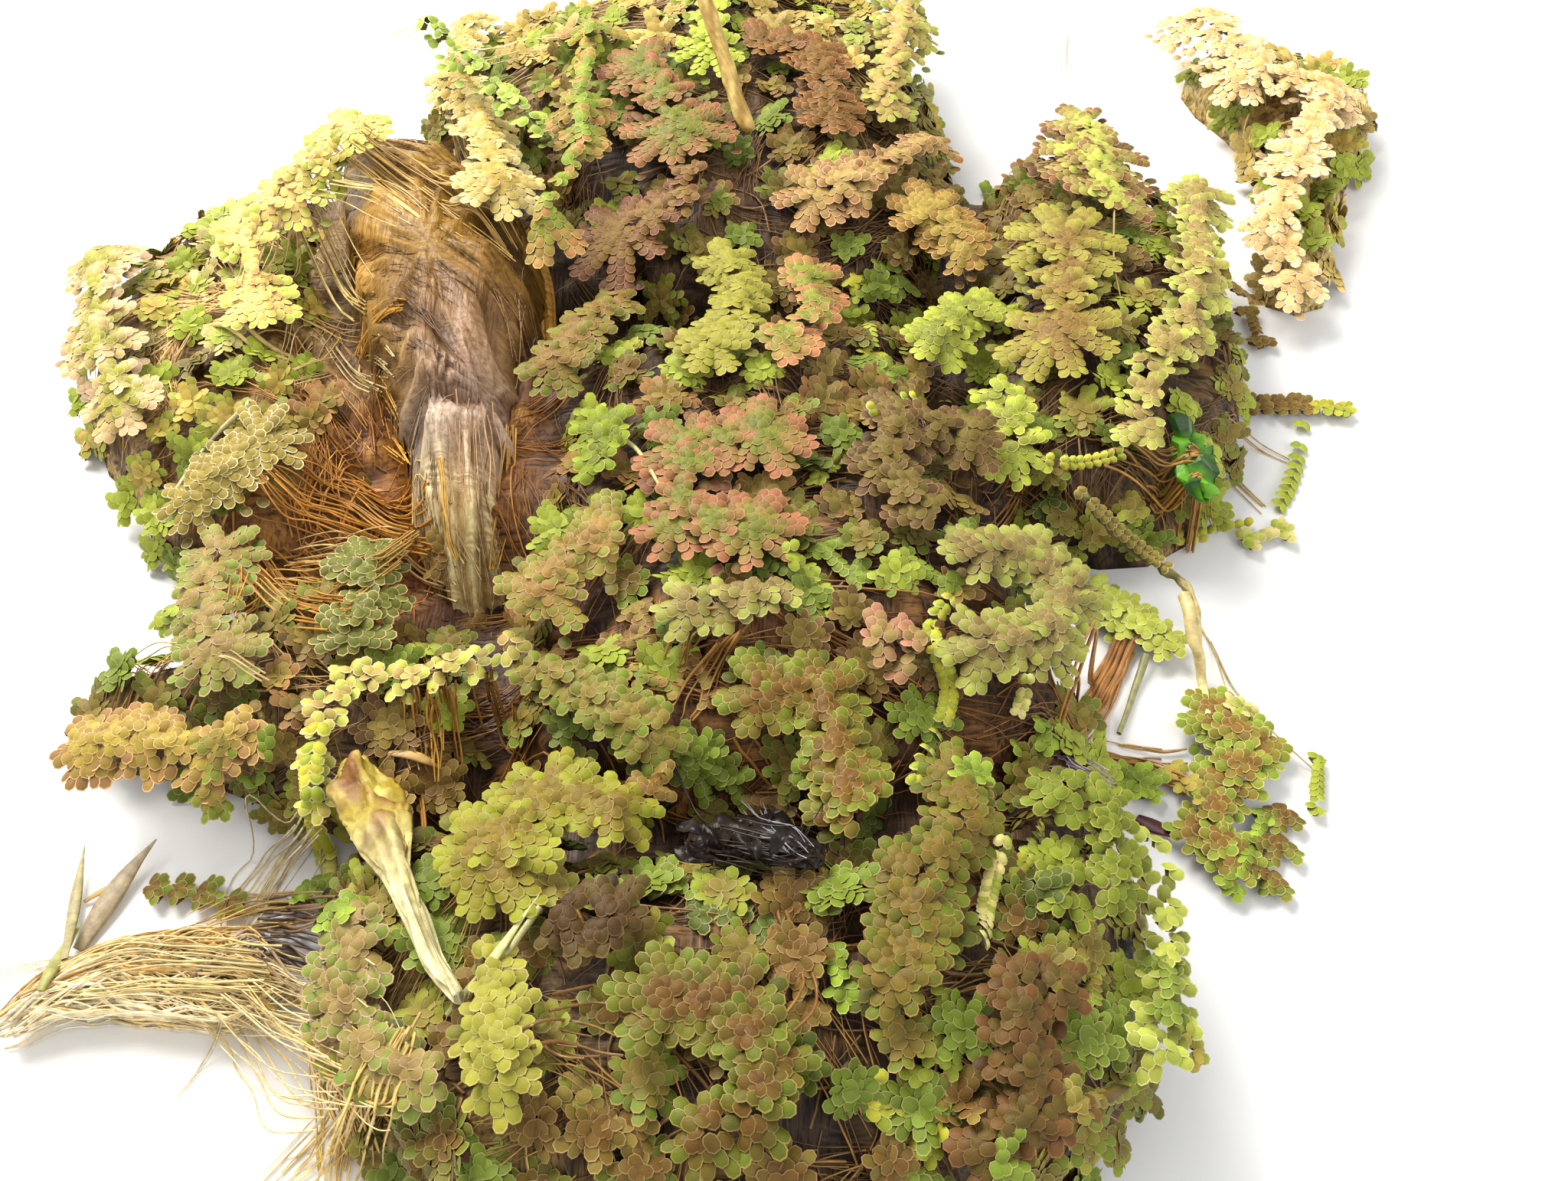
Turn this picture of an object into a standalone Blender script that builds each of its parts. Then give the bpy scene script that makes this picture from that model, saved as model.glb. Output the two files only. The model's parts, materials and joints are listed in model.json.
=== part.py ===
"""Mosquito fern: one scooped clump of the floating water fern, lying out of the water on a flat surface.

Lengths are in metres, +Z is up and +Y leads away from the viewer. The origin lies on the floor, under the
root mats. The clump is a heap: root mats stand on the floor, and the fern plants are laid on them one after
the other, each bending over what already lies below it. A place on the clump is given by the column and row
where it is seen, so that a plant slides down its line of sight until it meets the heap.
"""

import math
import random

import bmesh
import bpy
import numpy as np
from mathutils import Vector

MM = 0.001

# Driving dimensions

FROND_THICKNESS = 1.1 * MM
GAP = 0.35 * MM
STEEPEST = 0.75
STEEPEST_STEM = 0.25
LEAN = math.radians(12)
TIP_DROOP = 1.6 * MM
TILT_SPREAD = 0.14
CREVICE = 0.22 * MM
ROUGHNESS = 0.6

# Lobes: angle kept clear beside the stem, half width, and the share of the reach at tips, notches and necks

CLEAR_OF_STEM = math.radians(34)
LOBE_HALF_SHARE = 0.36
WIDEST_LOBE_HALF = math.radians(26)
LOBE_TURN = 0.06
TIP_SHARE = (0.9, 1.08)
NOTCH_SHARE = (0.46, 0.56)
NECK_SHARE = 0.42

# Root mats: rings from the summit outwards, and the share of the height at each

MAT_ROUGHNESS = 0.9 * MM
MAT_WAVES = 0.07
MAT_RINGS = (0.5, 0.84, 1.0)
MAT_SHOULDER = (0.95, 0.74, 0.3)
MAT_RIM_STEPS = 2

# The line of sight: a picture of 2048 by 1542 points, seen from the front and above

PICTURE_WIDTH, PICTURE_HEIGHT = 2048, 1542
LENS_OVER_WIDTH = 35 / 36
EYE_DISTANCE = 95 * MM
EYE_ELEVATION = math.radians(52)
LOOK_AT = Vector((6 * MM, -14 * MM, 12 * MM))

NEAREST_SHARE = 0.3
SIGHT_STEP = 0.0015

# The heap is measured in square cells of the floor

CELL = 0.4 * MM
HEAP_LOW = (-75 * MM, -75 * MM)
HEAP_CELLS = (400, 480)
KEPT_OFF_CELLS = 1
BRIDGED_CELLS = 9
OVERHANG_CELLS = 4

# How finely sheets and stems are laid on the heap

SAMPLES_PER_EDGE = 20
SETTLING_ROUNDS = 60
SLOPE_ROUNDS = 4
STEM_ROUNDS = 12
STEM_SIDES = 8
STEM_SAMPLES = 12
CLOSE_ENOUGH = 0.0001 * MM
TRIMMING_ROUNDS = 30
TRIMMING_STEP = 0.9
LEAST_TRIANGLE = 0.06 * MM * MM

COLOURS = {
    "root": (0.30, 0.15, 0.04),
    "straw": (0.62, 0.45, 0.14),
    "ochre": (0.50, 0.36, 0.10),
    "cream": (0.70, 0.66, 0.40),
    "lime": (0.40, 0.50, 0.10),
    "green": (0.22, 0.36, 0.07),
    "olive": (0.24, 0.27, 0.08),
    "brown": (0.27, 0.16, 0.09),
    "rose": (0.40, 0.20, 0.14),
    "black": (0.02, 0.018, 0.016),
    "leaf": (0.07, 0.25, 0.03),
}

# Root mats, in millimetres on the floor: height, place of the summit, and outline

ROOT_MATS = {
    "root_mat_back": (
        12.0,
        (-1, 40),
        (
            (-26.5, 43), (-26, 52), (-21, 58), (-11, 62), (-3, 66), (9, 68), (17, 61), (20.5, 47),
            (20.8, 31), (18, 18), (6, 16.3), (-6, 15.8), (-12, 28), (-17, 36.5),
        ),
    ),
    "root_mat_far": (
        5.0,
        (53, 50),
        (
            (44, 56), (48, 61), (56, 59), (61, 50), (57, 41), (53, 32), (51.5, 25), (46.5, 25),
            (47.5, 33), (49, 42), (47, 49),
        ),
    ),
    "wet_root_felt": (
        15.0,
        (-20, 16),
        (
            (-32, 38), (-26, 39.5), (-20, 35.5), (-13.6, 26), (-11.4, 17), (-11.7, 4), (-12.7, -10),
            (-16.8, -11), (-21.5, 0), (-25.5, 10), (-29, 22),
        ),
    ),
    "root_mat_left": (
        9.0,
        (-36, 14),
        (
            (-49, 20), (-45, 28), (-40, 35), (-34, 37), (-30.4, 22), (-26.9, 10), (-23, 0), (-21.5, -4),
            (-30, -6.5), (-38, -4), (-43, 3), (-48.5, 10),
        ),
    ),
    "root_mat_low_left": (
        8.0,
        (-26, -15),
        (
            (-40, -17), (-34, -14), (-30, -9.5), (-23, -8), (-17.5, -13), (-12.8, -14), (-12.8, -22),
            (-16, -26.5), (-24, -24.5), (-32, -21), (-39, -20),
        ),
    ),
    "root_mat_middle": (
        13.5,
        (3, -4),
        (
            (-10, 13), (0, 15), (10, 15), (17, 16), (18.4, 8), (19.5, -2), (21.5, -9), (26, -18),
            (25.5, -26), (14, -28.5), (0, -29), (-10.5, -26.5), (-12, -14), (-11, 4),
        ),
    ),
    "root_mat_right": (
        10.0,
        (29, 14),
        (
            (23.5, 34), (21, 24), (18.8, 15), (19.6, 5), (21.5, -2), (29, -3), (36, -1), (41, 8),
            (42, 18), (41, 28), (36, 38), (28.5, 42),
        ),
    ),
    "root_mat_front": (
        14.5,
        (2, -40),
        (
            (-20, -30), (-14, -28), (-6, -30), (5, -30.5), (17, -29.5), (26.5, -29), (27.5, -38),
            (24, -47), (8, -54.5), (-7, -54), (-14, -49), (-19, -40),
        ),
    ),
}

# Strips: colour, thickness in millimetres, and for each point its column, row and half width in millimetres

STRIPS = {
    "root_tail": (
        "straw",
        2.4,
        ((12, 1362, 0.6), (70, 1318, 1.5), (160, 1290, 2.3), (250, 1285, 2.9), (330, 1290, 3.0)),
    ),
    "green_leaf_scrap": (
        "leaf",
        0.8,
        ((1540, 558, 0.8), (1556, 585, 1.7), (1566, 622, 1.5), (1572, 652, 0.7)),
    ),
    "black_litter": (
        "black",
        1.2,
        ((912, 1112, 1.0), (955, 1098, 1.6), (1005, 1098, 1.5), (1058, 1122, 0.6)),
    ),
    "withered_leaf": (
        "cream",
        0.9,
        (
            (462, 1000, 1.0), (480, 1040, 1.9), (502, 1090, 1.7), (522, 1145, 0.9), (545, 1200, 0.7),
            (566, 1255, 0.6), (600, 1305, 0.4),
        ),
    ),
}

# Round stems: colour, radius in millimetres, and each point's column, row and least height in millimetres

STEMS = {
    "creeping_stem": (
        "olive",
        0.5,
        (
            (1408, 640, 0), (1432, 672, 0), (1466, 706, 0), (1502, 742, 0), (1535, 790, 0),
            (1548, 840, 0), (1558, 885, 0),
        ),
    ),
    "ochre_stalk": (
        "straw",
        0.7,
        ((914, -24, 22), (922, 5, 21), (940, 60, 19), (958, 115, 17), (978, 172, 15)),
    ),
}

# Fern plants, from those that lie free to those that show between others: colour, angle between lobes in
# degrees, and for each point of the stem its column, row, the reach of its lobes in millimetres, and its
# least height where it stands free of the heap

PLANTS = {
    "fern_front_large": ("olive", 48, ((640, 1125, 4.2), (722, 1045, 3.4), (805, 1075, 2.8))),
    "fern_stalked": ("lime", 56, ((640, 1268, 2.0), (650, 1345, 2.8), (658, 1412, 2.4))),
    "fern_front_main": (
        "olive",
        58,
        ((880, 1315, 3.4), (950, 1325, 3.1), (1003, 1398, 2.4), (985, 1465, 2.1), (925, 1487, 2.3)),
    ),
    "fern_arch": (
        "lime",
        90,
        (
            (420, 1055, 1.3), (412, 1000, 1.3), (430, 940, 1.3), (465, 895, 1.3), (520, 903, 1.3),
            (570, 888, 1.3), (620, 870, 1.3), (668, 853, 1.2),
        ),
    ),
    "fern_arch_right": ("olive", 65, ((702, 885, 1.7), (750, 905, 2.0), (800, 935, 2.4), (848, 968, 2.7))),
    "fern_left_large": (
        "olive",
        62,
        ((480, 1215, 2.8), (455, 1285, 2.9), (455, 1350, 2.7), (512, 1398, 2.5), (568, 1412, 2.4)),
    ),
    "fern_pink": ("rose", 53, ((990, 588, 3.7), (905, 602, 3.7), (888, 698, 2.9), (978, 708, 3.6))),
    "fern_large": (
        "olive",
        58,
        ((1283, 735, 2.9), (1345, 732, 2.9), (1393, 782, 2.9), (1362, 850, 2.9), (1288, 848, 2.9)),
    ),
    "fern_olive_front": (
        "olive",
        62,
        ((1245, 1018, 2.4), (1255, 1090, 2.6), (1195, 1165, 2.8), (1195, 1228, 2.9), (1168, 1285, 2.4)),
    ),
    "fern_front_centre": (
        "green",
        56,
        ((1000, 915, 2.9), (1072, 915, 3.5), (1095, 1010, 2.8), (1112, 1070, 3.4), (1168, 1110, 2.7)),
    ),
    "fern_right_edge": (
        "lime",
        90,
        (
            (1496, 1110, 1.1), (1512, 1150, 1.1), (1518, 1190, 1.1), (1518, 1238, 1.2),
            (1520, 1288, 1.5), (1522, 1335, 1.8), (1508, 1378, 1.8),
        ),
    ),
    "fern_right_mid": (
        "green",
        66,
        ((1385, 1050, 2.4), (1437, 1065, 2.4), (1452, 1118, 1.7), (1446, 1172, 2.1), (1395, 1172, 2.1)),
    ),
    "fern_bead": (
        "brown",
        60,
        ((1585, 948, 2.9), (1628, 985, 2.9), (1592, 1040, 2.7), (1568, 1092, 2.2), (1605, 1130, 2.1)),
    ),
    "fern_green_right": ("green", 49, ((1388, 334, 4.8), (1378, 456, 4.5))),
    "fern_triangle": ("brown", 52, ((1445, 285, 3.9), (1424, 226, 5.4), (1412, 175, 3.4))),
    "fern_right_green": (
        "green",
        62,
        ((1556, 275, 4.1), (1562, 384, 2.9), (1540, 450, 2.7), (1495, 490, 2.6), (1500, 560, 2.8)),
    ),
    "fern_bright": ("lime", 54, ((1225, 458, 2.8), (1262, 418, 3.2))),
    "fern_lime": ("lime", 62, ((948, 352, 2.8), (970, 392, 2.6), (955, 430, 2.5), (926, 466, 2.9))),
    "fern_tan": ("rose", 56, ((1048, 372, 3.6), (1064, 422, 2.0), (1012, 462, 3.1))),
    "fern_purple": ("brown", 50, ((817, 315, 4.8), (889, 286, 4.1), (951, 311, 3.1))),
    "fern_brown_right": ("brown", 50, ((1215, 290, 3.9), (1262, 325, 3.2))),
    "fern_light_green": ("lime", 56, ((1308, 528, 2.5), (1325, 595, 2.7))),
    "fern_brown_purple": (
        "brown",
        54,
        ((1265, 575, 3.2), (1178, 562, 3.1), (1150, 622, 2.7), (1205, 680, 3.2)),
    ),
    "fern_olive": ("olive", 50, ((712, 776, 3.7), (745, 735, 2.1), (797, 711, 3.6))),
    "fern_olive_right": ("lime", 58, ((905, 800, 2.4), (950, 795, 2.6), (1003, 775, 2.6))),
    "fern_rose_lower": ("rose", 54, ((1150, 850, 2.6), (1195, 868, 2.6), (1228, 898, 2.4))),
    "fern_bright_right": ("lime", 60, ((1430, 790, 2.0), (1470, 815, 2.2), (1515, 845, 1.9))),
    "fern_green_stem": ("green", 60, ((785, 572, 2.4), (788, 612, 2.2), (812, 642, 2.1))),
    "fern_left_pale": ("olive", 52, ((345, 585, 3.1), (300, 625, 3.5), (258, 658, 2.7))),
    "fern_left_middle": ("olive", 52, ((292, 735, 3.1), (270, 795, 2.8), (290, 862, 3.2))),
    "fern_dark_left": ("green", 56, ((478, 745, 2.9), (495, 795, 2.0), (462, 845, 2.8))),
    "fern_left_row": (
        "brown",
        58,
        ((128, 985, 2.9), (195, 972, 2.8), (280, 990, 2.5), (340, 950, 2.7), (392, 925, 2.4)),
    ),
    "fern_front_right": (
        "rose",
        66,
        ((1378, 1298, 2.2), (1330, 1300, 2.4), (1325, 1370, 2.2), (1370, 1440, 2.5), (1300, 1500, 2.5)),
    ),
    "fern_dark_front": ("olive", 52, ((742, 1205, 3.0), (800, 1218, 3.2))),
    "fern_back_lime": ("lime", 52, ((926, 5, 2.9), (928, 88, 3.1))),
    "fern_rose_back": ("rose", 50, ((846, 108, 4.6), (886, 190, 4.8))),
    "fern_russet": ("brown", 58, ((994, 66, 3.1), (1063, 85, 3.4), (1083, 160, 3.2))),
    "fern_cream": ("cream", 60, ((617, 50, 2.5), (598, 118, 3.1), (635, 182, 2.9), (655, 258, 3.6))),
    "fern_shade": (
        "olive",
        58,
        ((778, 72, 3.5), (768, 160, 3.6), (765, 232, 3.0), (718, 325, 3.4)),
    ),
    "fern_brown_gap": ("olive", 56, ((1067, 262, 3.4), (1130, 255, 3.7), (1214, 205, 2.6))),
    "fern_back_ochre": (
        "ochre",
        66,
        ((1105, -30, 3.6), (1168, -5, 3.6), (1180, 60, 3.4), (1152, 145, 3.2)),
    ),
    "fern_far": (
        "straw",
        70,
        (
            (1560, 50, 4.4), (1620, 115, 3.7), (1735, 140, 3.5), (1690, 215, 3.2), (1655, 310, 3.2),
            (1690, 368, 2.9),
        ),
    ),
    "fern_left_edge": ("ochre", 56, ((144, 367, 3.6), (138, 459, 3.5), (170, 545, 3.1))),
    "fern_left_upper": (
        "ochre",
        60,
        ((459, 190, 3.8), (385, 262, 3.6), (322, 305, 3.1), (342, 400, 3.1)),
    ),
    "fern_olive_back": ("olive", 60, ((725, 480, 2.9), (762, 440, 2.7), (803, 408, 2.4))),
    "fern_sickle": (
        "green",
        80,
        ((558, 32, 0.9, 17), (600, 76, 1.3, 16), (648, 122, 1.6, 14.5), (690, 165, 2.0), (712, 190, 1.3)),
    ),
}


class Heap:
    """The height of the pieces on each cell of the floor, and the cells that pieces on top have taken."""

    def __init__(self):
        self.low = np.array(HEAP_LOW)
        self.top = np.full(HEAP_CELLS, -GAP)
        self.wide = self.top
        self.bridged = self.top
        self.taken = np.zeros(HEAP_CELLS, bool)

    def cells(self, places):
        """The row and column of the cell under each place."""
        index = ((places[..., :2] - self.low) / CELL).astype(int)
        return tuple(np.clip(index[..., i], 1, HEAP_CELLS[i] - 2) for i in (0, 1))

    def add(self, places):
        """Raises the heap to these places, and keeps it spread by one cell each way."""
        np.maximum.at(self.top, self.cells(places), places[..., 2])
        self.wide = np.max(neighbours(self.top), axis=0)

    def bridge(self):
        """Notes the height at which stems lie: over the gaps between the mats and a little past the rim."""
        self.bridged = self.wide
        for _ in range(BRIDGED_CELLS):
            self.bridged = np.max(neighbours(self.bridged), axis=0)
        for _ in range(BRIDGED_CELLS - OVERHANG_CELLS):
            self.bridged = np.min(neighbours(self.bridged), axis=0)

    def take(self, places):
        """Raises the heap, and keeps later plants off these places and a little round them."""
        self.add(places)
        covered = np.zeros(HEAP_CELLS, bool)
        covered[self.cells(places)] = True
        for _ in range(KEPT_OFF_CELLS):
            covered = np.any(neighbours(covered), axis=0)
        self.taken |= covered

    def under(self, places):
        """The height that a piece has to clear at each place."""
        return self.wide[self.cells(places)]


def neighbours(grid):
    """The grid moved by one cell in each direction, and as it is."""
    padded = np.pad(grid, 1, mode="edge")
    rows, columns = grid.shape
    return [padded[i : i + rows, j : j + columns] for i in range(3) for j in range(3)]


def even_weights(count):
    """Weights of points that lie evenly over a triangle, its edges included."""
    return np.array([(i, j, count - i - j) for i in range(count + 1) for j in range(count + 1 - i)]) / count


WEIGHTS = even_weights(SAMPLES_PER_EDGE)


def spread_over(points, triangles):
    """Places spread evenly over each triangle."""
    return np.einsum("wc,tcx->twx", WEIGHTS, points[triangles])


def eye():
    back = Vector((0, -math.cos(EYE_ELEVATION), math.sin(EYE_ELEVATION)))
    return LOOK_AT + EYE_DISTANCE * back


def sight(column, row):
    """The direction in which the eye sees this column and row."""
    focal = LENS_OVER_WIDTH * PICTURE_WIDTH
    across = (column - PICTURE_WIDTH / 2) / focal
    up = (PICTURE_HEIGHT / 2 - row) / focal
    ahead = Vector((0, math.cos(EYE_ELEVATION), -math.sin(EYE_ELEVATION)))
    upward = Vector((0, math.sin(EYE_ELEVATION), math.cos(EYE_ELEVATION)))
    return Vector((across, 0, 0)) + up * upward + ahead


def seen_at_height(column, row, height):
    """The place at this height that is seen at this column and row."""
    direction = sight(column, row)
    return eye() + direction * ((height - eye().z) / direction.z)


def height_met(heap, column, row):
    """The height at which the line of sight meets the heap or the floor."""
    direction = np.array(sight(column, row))
    steps = np.arange(NEAREST_SHARE, 1, SIGHT_STEP)[:, None] * (eye().z / -direction[2])
    places = np.array(eye()) + steps * direction
    met = np.nonzero(places[:, 2] <= heap.bridged[heap.cells(places)])[0]
    return max(places[met[0], 2], 0.0) if len(met) else 0.0


def turned(angle, length):
    return Vector((math.cos(angle), math.sin(angle))) * length


def keep_to_own_side(point, spine, own):
    """Moves a point of an outline to its own side of the line midway to each other point of the spine."""
    for other, place in enumerate(spine):
        away = place - spine[own]
        if other == own:
            continue
        most = away.length / 2 - CREVICE
        over = (point - spine[own]).dot(away.normalized()) - most
        if over > 0:
            point = point - away.normalized() * over
    return point


def lobes_at(spine, own, start, end, spacing, reach, rng):
    """Outline points of the lobes that spread from one spine point between two angles."""
    room = end - start - 2 * CLEAR_OF_STEM
    count = max(1, round(room / math.radians(spacing)))
    step = room / count
    points = []
    for i in range(count):
        middle = start + CLEAR_OF_STEM + (i + 0.5) * step + rng.uniform(-LOBE_TURN, LOBE_TURN)
        length = reach * rng.uniform(*TIP_SHARE)
        half = min(LOBE_HALF_SHARE * step, WIDEST_LOBE_HALF)
        if i:
            points.append(turned(middle - step / 2, reach * rng.uniform(*NOTCH_SHARE)))
        points.append(turned(middle - half, length))
        points.append(turned(middle + half, length))
    return [keep_to_own_side(spine[own] + p, spine, own) for p in points]


def heading(a, b):
    return math.atan2(b.y - a.y, b.x - a.x)


def sector(spine, own, side):
    """The angles between which a spine point has room for lobes: right going on, left coming back."""
    last = len(spine) - 1
    if own == last:
        back = heading(spine[last], spine[last - 1])
        return back, back + 2 * math.pi
    on = heading(spine[own], spine[own + 1])
    if own == 0:
        return on, on + 2 * math.pi
    back = heading(spine[own], spine[own - 1])
    start, end = (back, on) if side == "right" else (on, back)
    return start, start + (end - start) % (2 * math.pi)


def neck(spine, a, b, reaches):
    """The outline point between two spine points, on the right of the way from a to b."""
    along = spine[b] - spine[a]
    across = Vector((along.y, -along.x)).normalized()
    return (spine[a] + spine[b]) / 2 + across * NECK_SHARE * min(reaches[a], reaches[b])


def lobed_outline(spine, reaches, spacing, rng):
    """(point, the spine point that it belongs to) once round the plant, counterclockwise."""
    last = len(spine) - 1
    order = [(k, "right") for k in range(1, last)] + [(last, "end")]
    order += [(k, "left") for k in range(last - 1, 0, -1)] + [(0, "start")]
    outline = []
    for index, (own, side) in enumerate(order):
        before = order[index - 1][0]
        outline.append((neck(spine, before, own, reaches), own))
        start, end = sector(spine, own, side)
        outline += [(p, own) for p in lobes_at(spine, own, start, end, spacing, reaches[own], rng)]
    return outline


def strip_outline(spine, widths):
    """(point, the spine point that it belongs to) once round a strip with plain sides, counterclockwise."""
    last = len(spine) - 1
    sides = []
    for k, place in enumerate(spine):
        along = (spine[min(k + 1, last)] - spine[max(k - 1, 0)]).normalized()
        across = Vector((along.y, -along.x)) * widths[k]
        sides.append((place + across, place - across))
    first_way = (spine[0] - spine[1]).normalized() * widths[0]
    last_way = (spine[last] - spine[last - 1]).normalized() * widths[last]
    outline = [(sides[k][0], k) for k in range(last + 1)] + [(spine[last] + last_way, last)]
    return outline + [(sides[k][1], k) for k in range(last, -1, -1)] + [(spine[0] + first_way, 0)]


def area(a, b, c):
    return (b - a).cross(c - a) / 2


def without_slivers(spine, outline):
    """The outline without points that would make its fan of triangles thin or folded."""
    kept = list(outline)
    for _ in range(len(outline)):
        for i, (point, own) in enumerate(kept):
            previous, owner = kept[i - 1]
            if area(spine[own], previous, point) < LEAST_TRIANGLE:
                del kept[i]
                break
            if owner != own and area(spine[owner], previous, spine[own]) < LEAST_TRIANGLE:
                del kept[i - 1]
                break
        else:
            break
    return kept


def sheet_triangles(spine, outline):
    """The triangles between the spine and the outline round it, as point numbers."""
    first = len(spine)
    triangles = []
    for i, (_, own) in enumerate(outline):
        following = outline[(i + 1) % len(outline)][1]
        a, b = first + i, first + (i + 1) % len(outline)
        if following == own:
            triangles.append((own, a, b))
        else:
            triangles += [(own, a, following), (following, a, b)]
    return np.array(triangles)


def planned(heap, places, outline, reaches, tilt):
    """The spine and the outline in space: a tilted plane through the stem that droops off the heap."""
    points = [tuple(place) for place in places]
    for point, own in outline:
        away = point - places[own].to_2d()
        level = places[own].z + away.dot(tilt)
        room = max(level - GAP - heap.under(np.array(point)), 0)
        droop = TIP_DROOP * (away.length / reaches[own]) ** 2
        points.append((point.x, point.y, level - min(room, droop)))
    return np.array(points)


def trimmed(heap, places, outline, reaches, tilt):
    """The outline drawn in towards the spine wherever a piece stands in the way."""
    spine = [place.to_2d() for place in places]
    first = len(spine)
    outline = without_slivers(spine, outline)
    for _ in range(TRIMMING_ROUNDS):
        triangles = sheet_triangles(spine, outline)
        spread = spread_over(planned(heap, places, outline, reaches, tilt), triangles)
        in_the_way = heap.taken[heap.cells(spread)] & (heap.under(spread) + GAP > spread[..., 2])
        hit = in_the_way.any(axis=1)
        if not hit.any():
            break
        for i in {corner - first for corner in triangles[hit].ravel() if corner >= first}:
            point, own = outline[i]
            outline[i] = (spine[own].lerp(point, TRIMMING_STEP), own)
        outline = without_slivers(spine, outline)
    return outline


def lay_down(heap, points, triangles):
    """Raises points until the sheet clears the heap and is nowhere too steep."""
    edges = {tuple(sorted((t[i], t[i - 1]))) for t in triangles for i in range(3)}
    edges = np.array([e for a, b in sorted(edges) for e in ((a, b), (b, a))])
    runs = np.linalg.norm(points[edges[:, 0], :2] - points[edges[:, 1], :2], axis=1)
    for _ in range(SETTLING_ROUNDS):
        places = spread_over(points, triangles)
        short = (heap.under(places) + GAP - places[..., 2]).max(axis=1)
        if short.max() <= CLOSE_ENOUGH:
            break
        lift = np.zeros(len(points))
        for corner in range(3):
            np.maximum.at(lift, triangles[:, corner], np.maximum(short, 0))
        points[:, 2] += lift
        for _ in range(SLOPE_ROUNDS):
            needed = points[edges[:, 1], 2] - STEEPEST * runs
            np.maximum.at(points[:, 2], edges[:, 0], needed)
    return points


def resting_heights(heap, seen, least):
    """The height at which each point of a stem meets the heap, or its least height if that is more."""
    return [max(height_met(heap, *point), low * MM) + GAP for point, low in zip(seen, least)]


def spine_places(heap, seen, least):
    """Where a sheet's spine lies: on the heap, but running out level rather than dropping where it ends."""
    heights = resting_heights(heap, seen, least)
    count = len(seen)
    pairs = [(k, k - 1) for k in range(1, count)] + [(k, k + 1) for k in range(count - 1)]
    for _ in range(STEM_ROUNDS):
        places = [seen_at_height(*point, height) for point, height in zip(seen, heights)]
        for a, b in pairs:
            run = (places[a] - places[b]).to_2d().length
            heights[a] = max(heights[a], heights[b] - STEEPEST_STEM * run)
    return [seen_at_height(*point, height) for point, height in zip(seen, heights)]


def sheet_on_heap(heap, seen, outline_of, tilt):
    """Points and triangles of a sheet whose spine is seen at these columns and rows, laid on the heap."""
    reaches = [point[2] * MM for point in seen]
    places = spine_places(heap, [point[:2] for point in seen], [sum(point[3:]) for point in seen])
    spine = [place.to_2d() for place in places]
    outline = trimmed(heap, places, outline_of(spine, reaches), reaches, tilt)
    triangles = sheet_triangles(spine, outline)
    return lay_down(heap, planned(heap, places, outline, reaches, tilt), triangles), triangles


def thicken(name, points, triangles, thickness):
    """A closed mesh from a sheet, which is its underside."""
    bm = bmesh.new()
    corners = [bm.verts.new(p) for p in points]
    faces = [bm.faces.new([corners[i] for i in t]) for t in triangles]
    made = bmesh.ops.extrude_face_region(bm, geom=faces, use_keep_orig=True)["geom"]
    raised = [v for v in made if isinstance(v, bmesh.types.BMVert)]
    bmesh.ops.translate(bm, vec=(0, 0, thickness), verts=raised)
    bmesh.ops.recalc_face_normals(bm, faces=bm.faces)
    mesh = bpy.data.meshes.new(name)
    bm.to_mesh(mesh)
    bm.free()
    return mesh


def painted(name, colour):
    material = bpy.data.materials.new(name)
    material.use_nodes = True
    shader = material.node_tree.nodes["Principled BSDF"]
    shader.inputs["Base Color"].default_value = (*COLOURS[colour], 1)
    shader.inputs["Roughness"].default_value = ROUGHNESS
    shader.inputs["Metallic"].default_value = 0.0
    return material


def put_in(collection, name, data, colour):
    data.materials.append(painted(name, colour))
    made = bpy.data.objects.new(name, data)
    collection.objects.link(made)
    return made


def rounded(outline):
    """A smooth closed line through the outline's points."""
    count = len(outline)
    places = [Vector(p) * MM for p in outline]
    line = []
    for i in range(count):
        a, b, c, d = (places[(i + k) % count] for k in (-1, 0, 1, 2))
        for s in range(MAT_RIM_STEPS):
            t = s / MAT_RIM_STEPS
            squared = (2 * a - 5 * b + 4 * c - d) * t**2
            cubed = (3 * b - a - 3 * c + d) * t**3
            line.append((2 * b + (c - a) * t + squared + cubed) / 2)
    return line


def root_mat(collection, heap, name):
    """A flat-bottomed lump of tangled roots that stands on the floor."""
    height, summit, outline = ROOT_MATS[name]
    rng = random.Random(name)
    rim = rounded(outline)
    middle = Vector(summit) * MM
    bm = bmesh.new()
    top = bm.verts.new((*middle, height * MM))
    rings = []
    for out, level in zip(MAT_RINGS, MAT_SHOULDER):
        ring = []
        for place in rim:
            rough = rng.uniform(-1, 1) * MAT_ROUGHNESS
            share = out * (1 - rng.uniform(0, MAT_WAVES))
            ring.append(bm.verts.new((*middle.lerp(place, share), height * MM * level + rough)))
        rings.append(ring)
    feet = [middle.lerp(place, 1 - rng.uniform(0, MAT_WAVES)) for place in rim]
    rings.append([bm.verts.new((*foot, 0)) for foot in feet])
    for i in range(len(rim)):
        j = (i + 1) % len(rim)
        bm.faces.new((top, rings[0][i], rings[0][j]))
        for upper, lower in zip(rings, rings[1:]):
            bm.faces.new((upper[i], lower[i], lower[j], upper[j]))
    bm.faces.new(reversed(rings[-1]))
    bmesh.ops.triangulate(bm, faces=bm.faces)
    bmesh.ops.recalc_face_normals(bm, faces=bm.faces)
    mesh = bpy.data.meshes.new(name)
    bm.to_mesh(mesh)
    bm.free()
    put_in(collection, name, mesh, "root")
    heap.add(surface_places(mesh))


def surface_places(mesh):
    """Places spread evenly over a mesh."""
    mesh.calc_loop_triangles()
    points = np.array([v.co for v in mesh.vertices])
    return spread_over(points, np.array([t.vertices for t in mesh.loop_triangles]))


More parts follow.
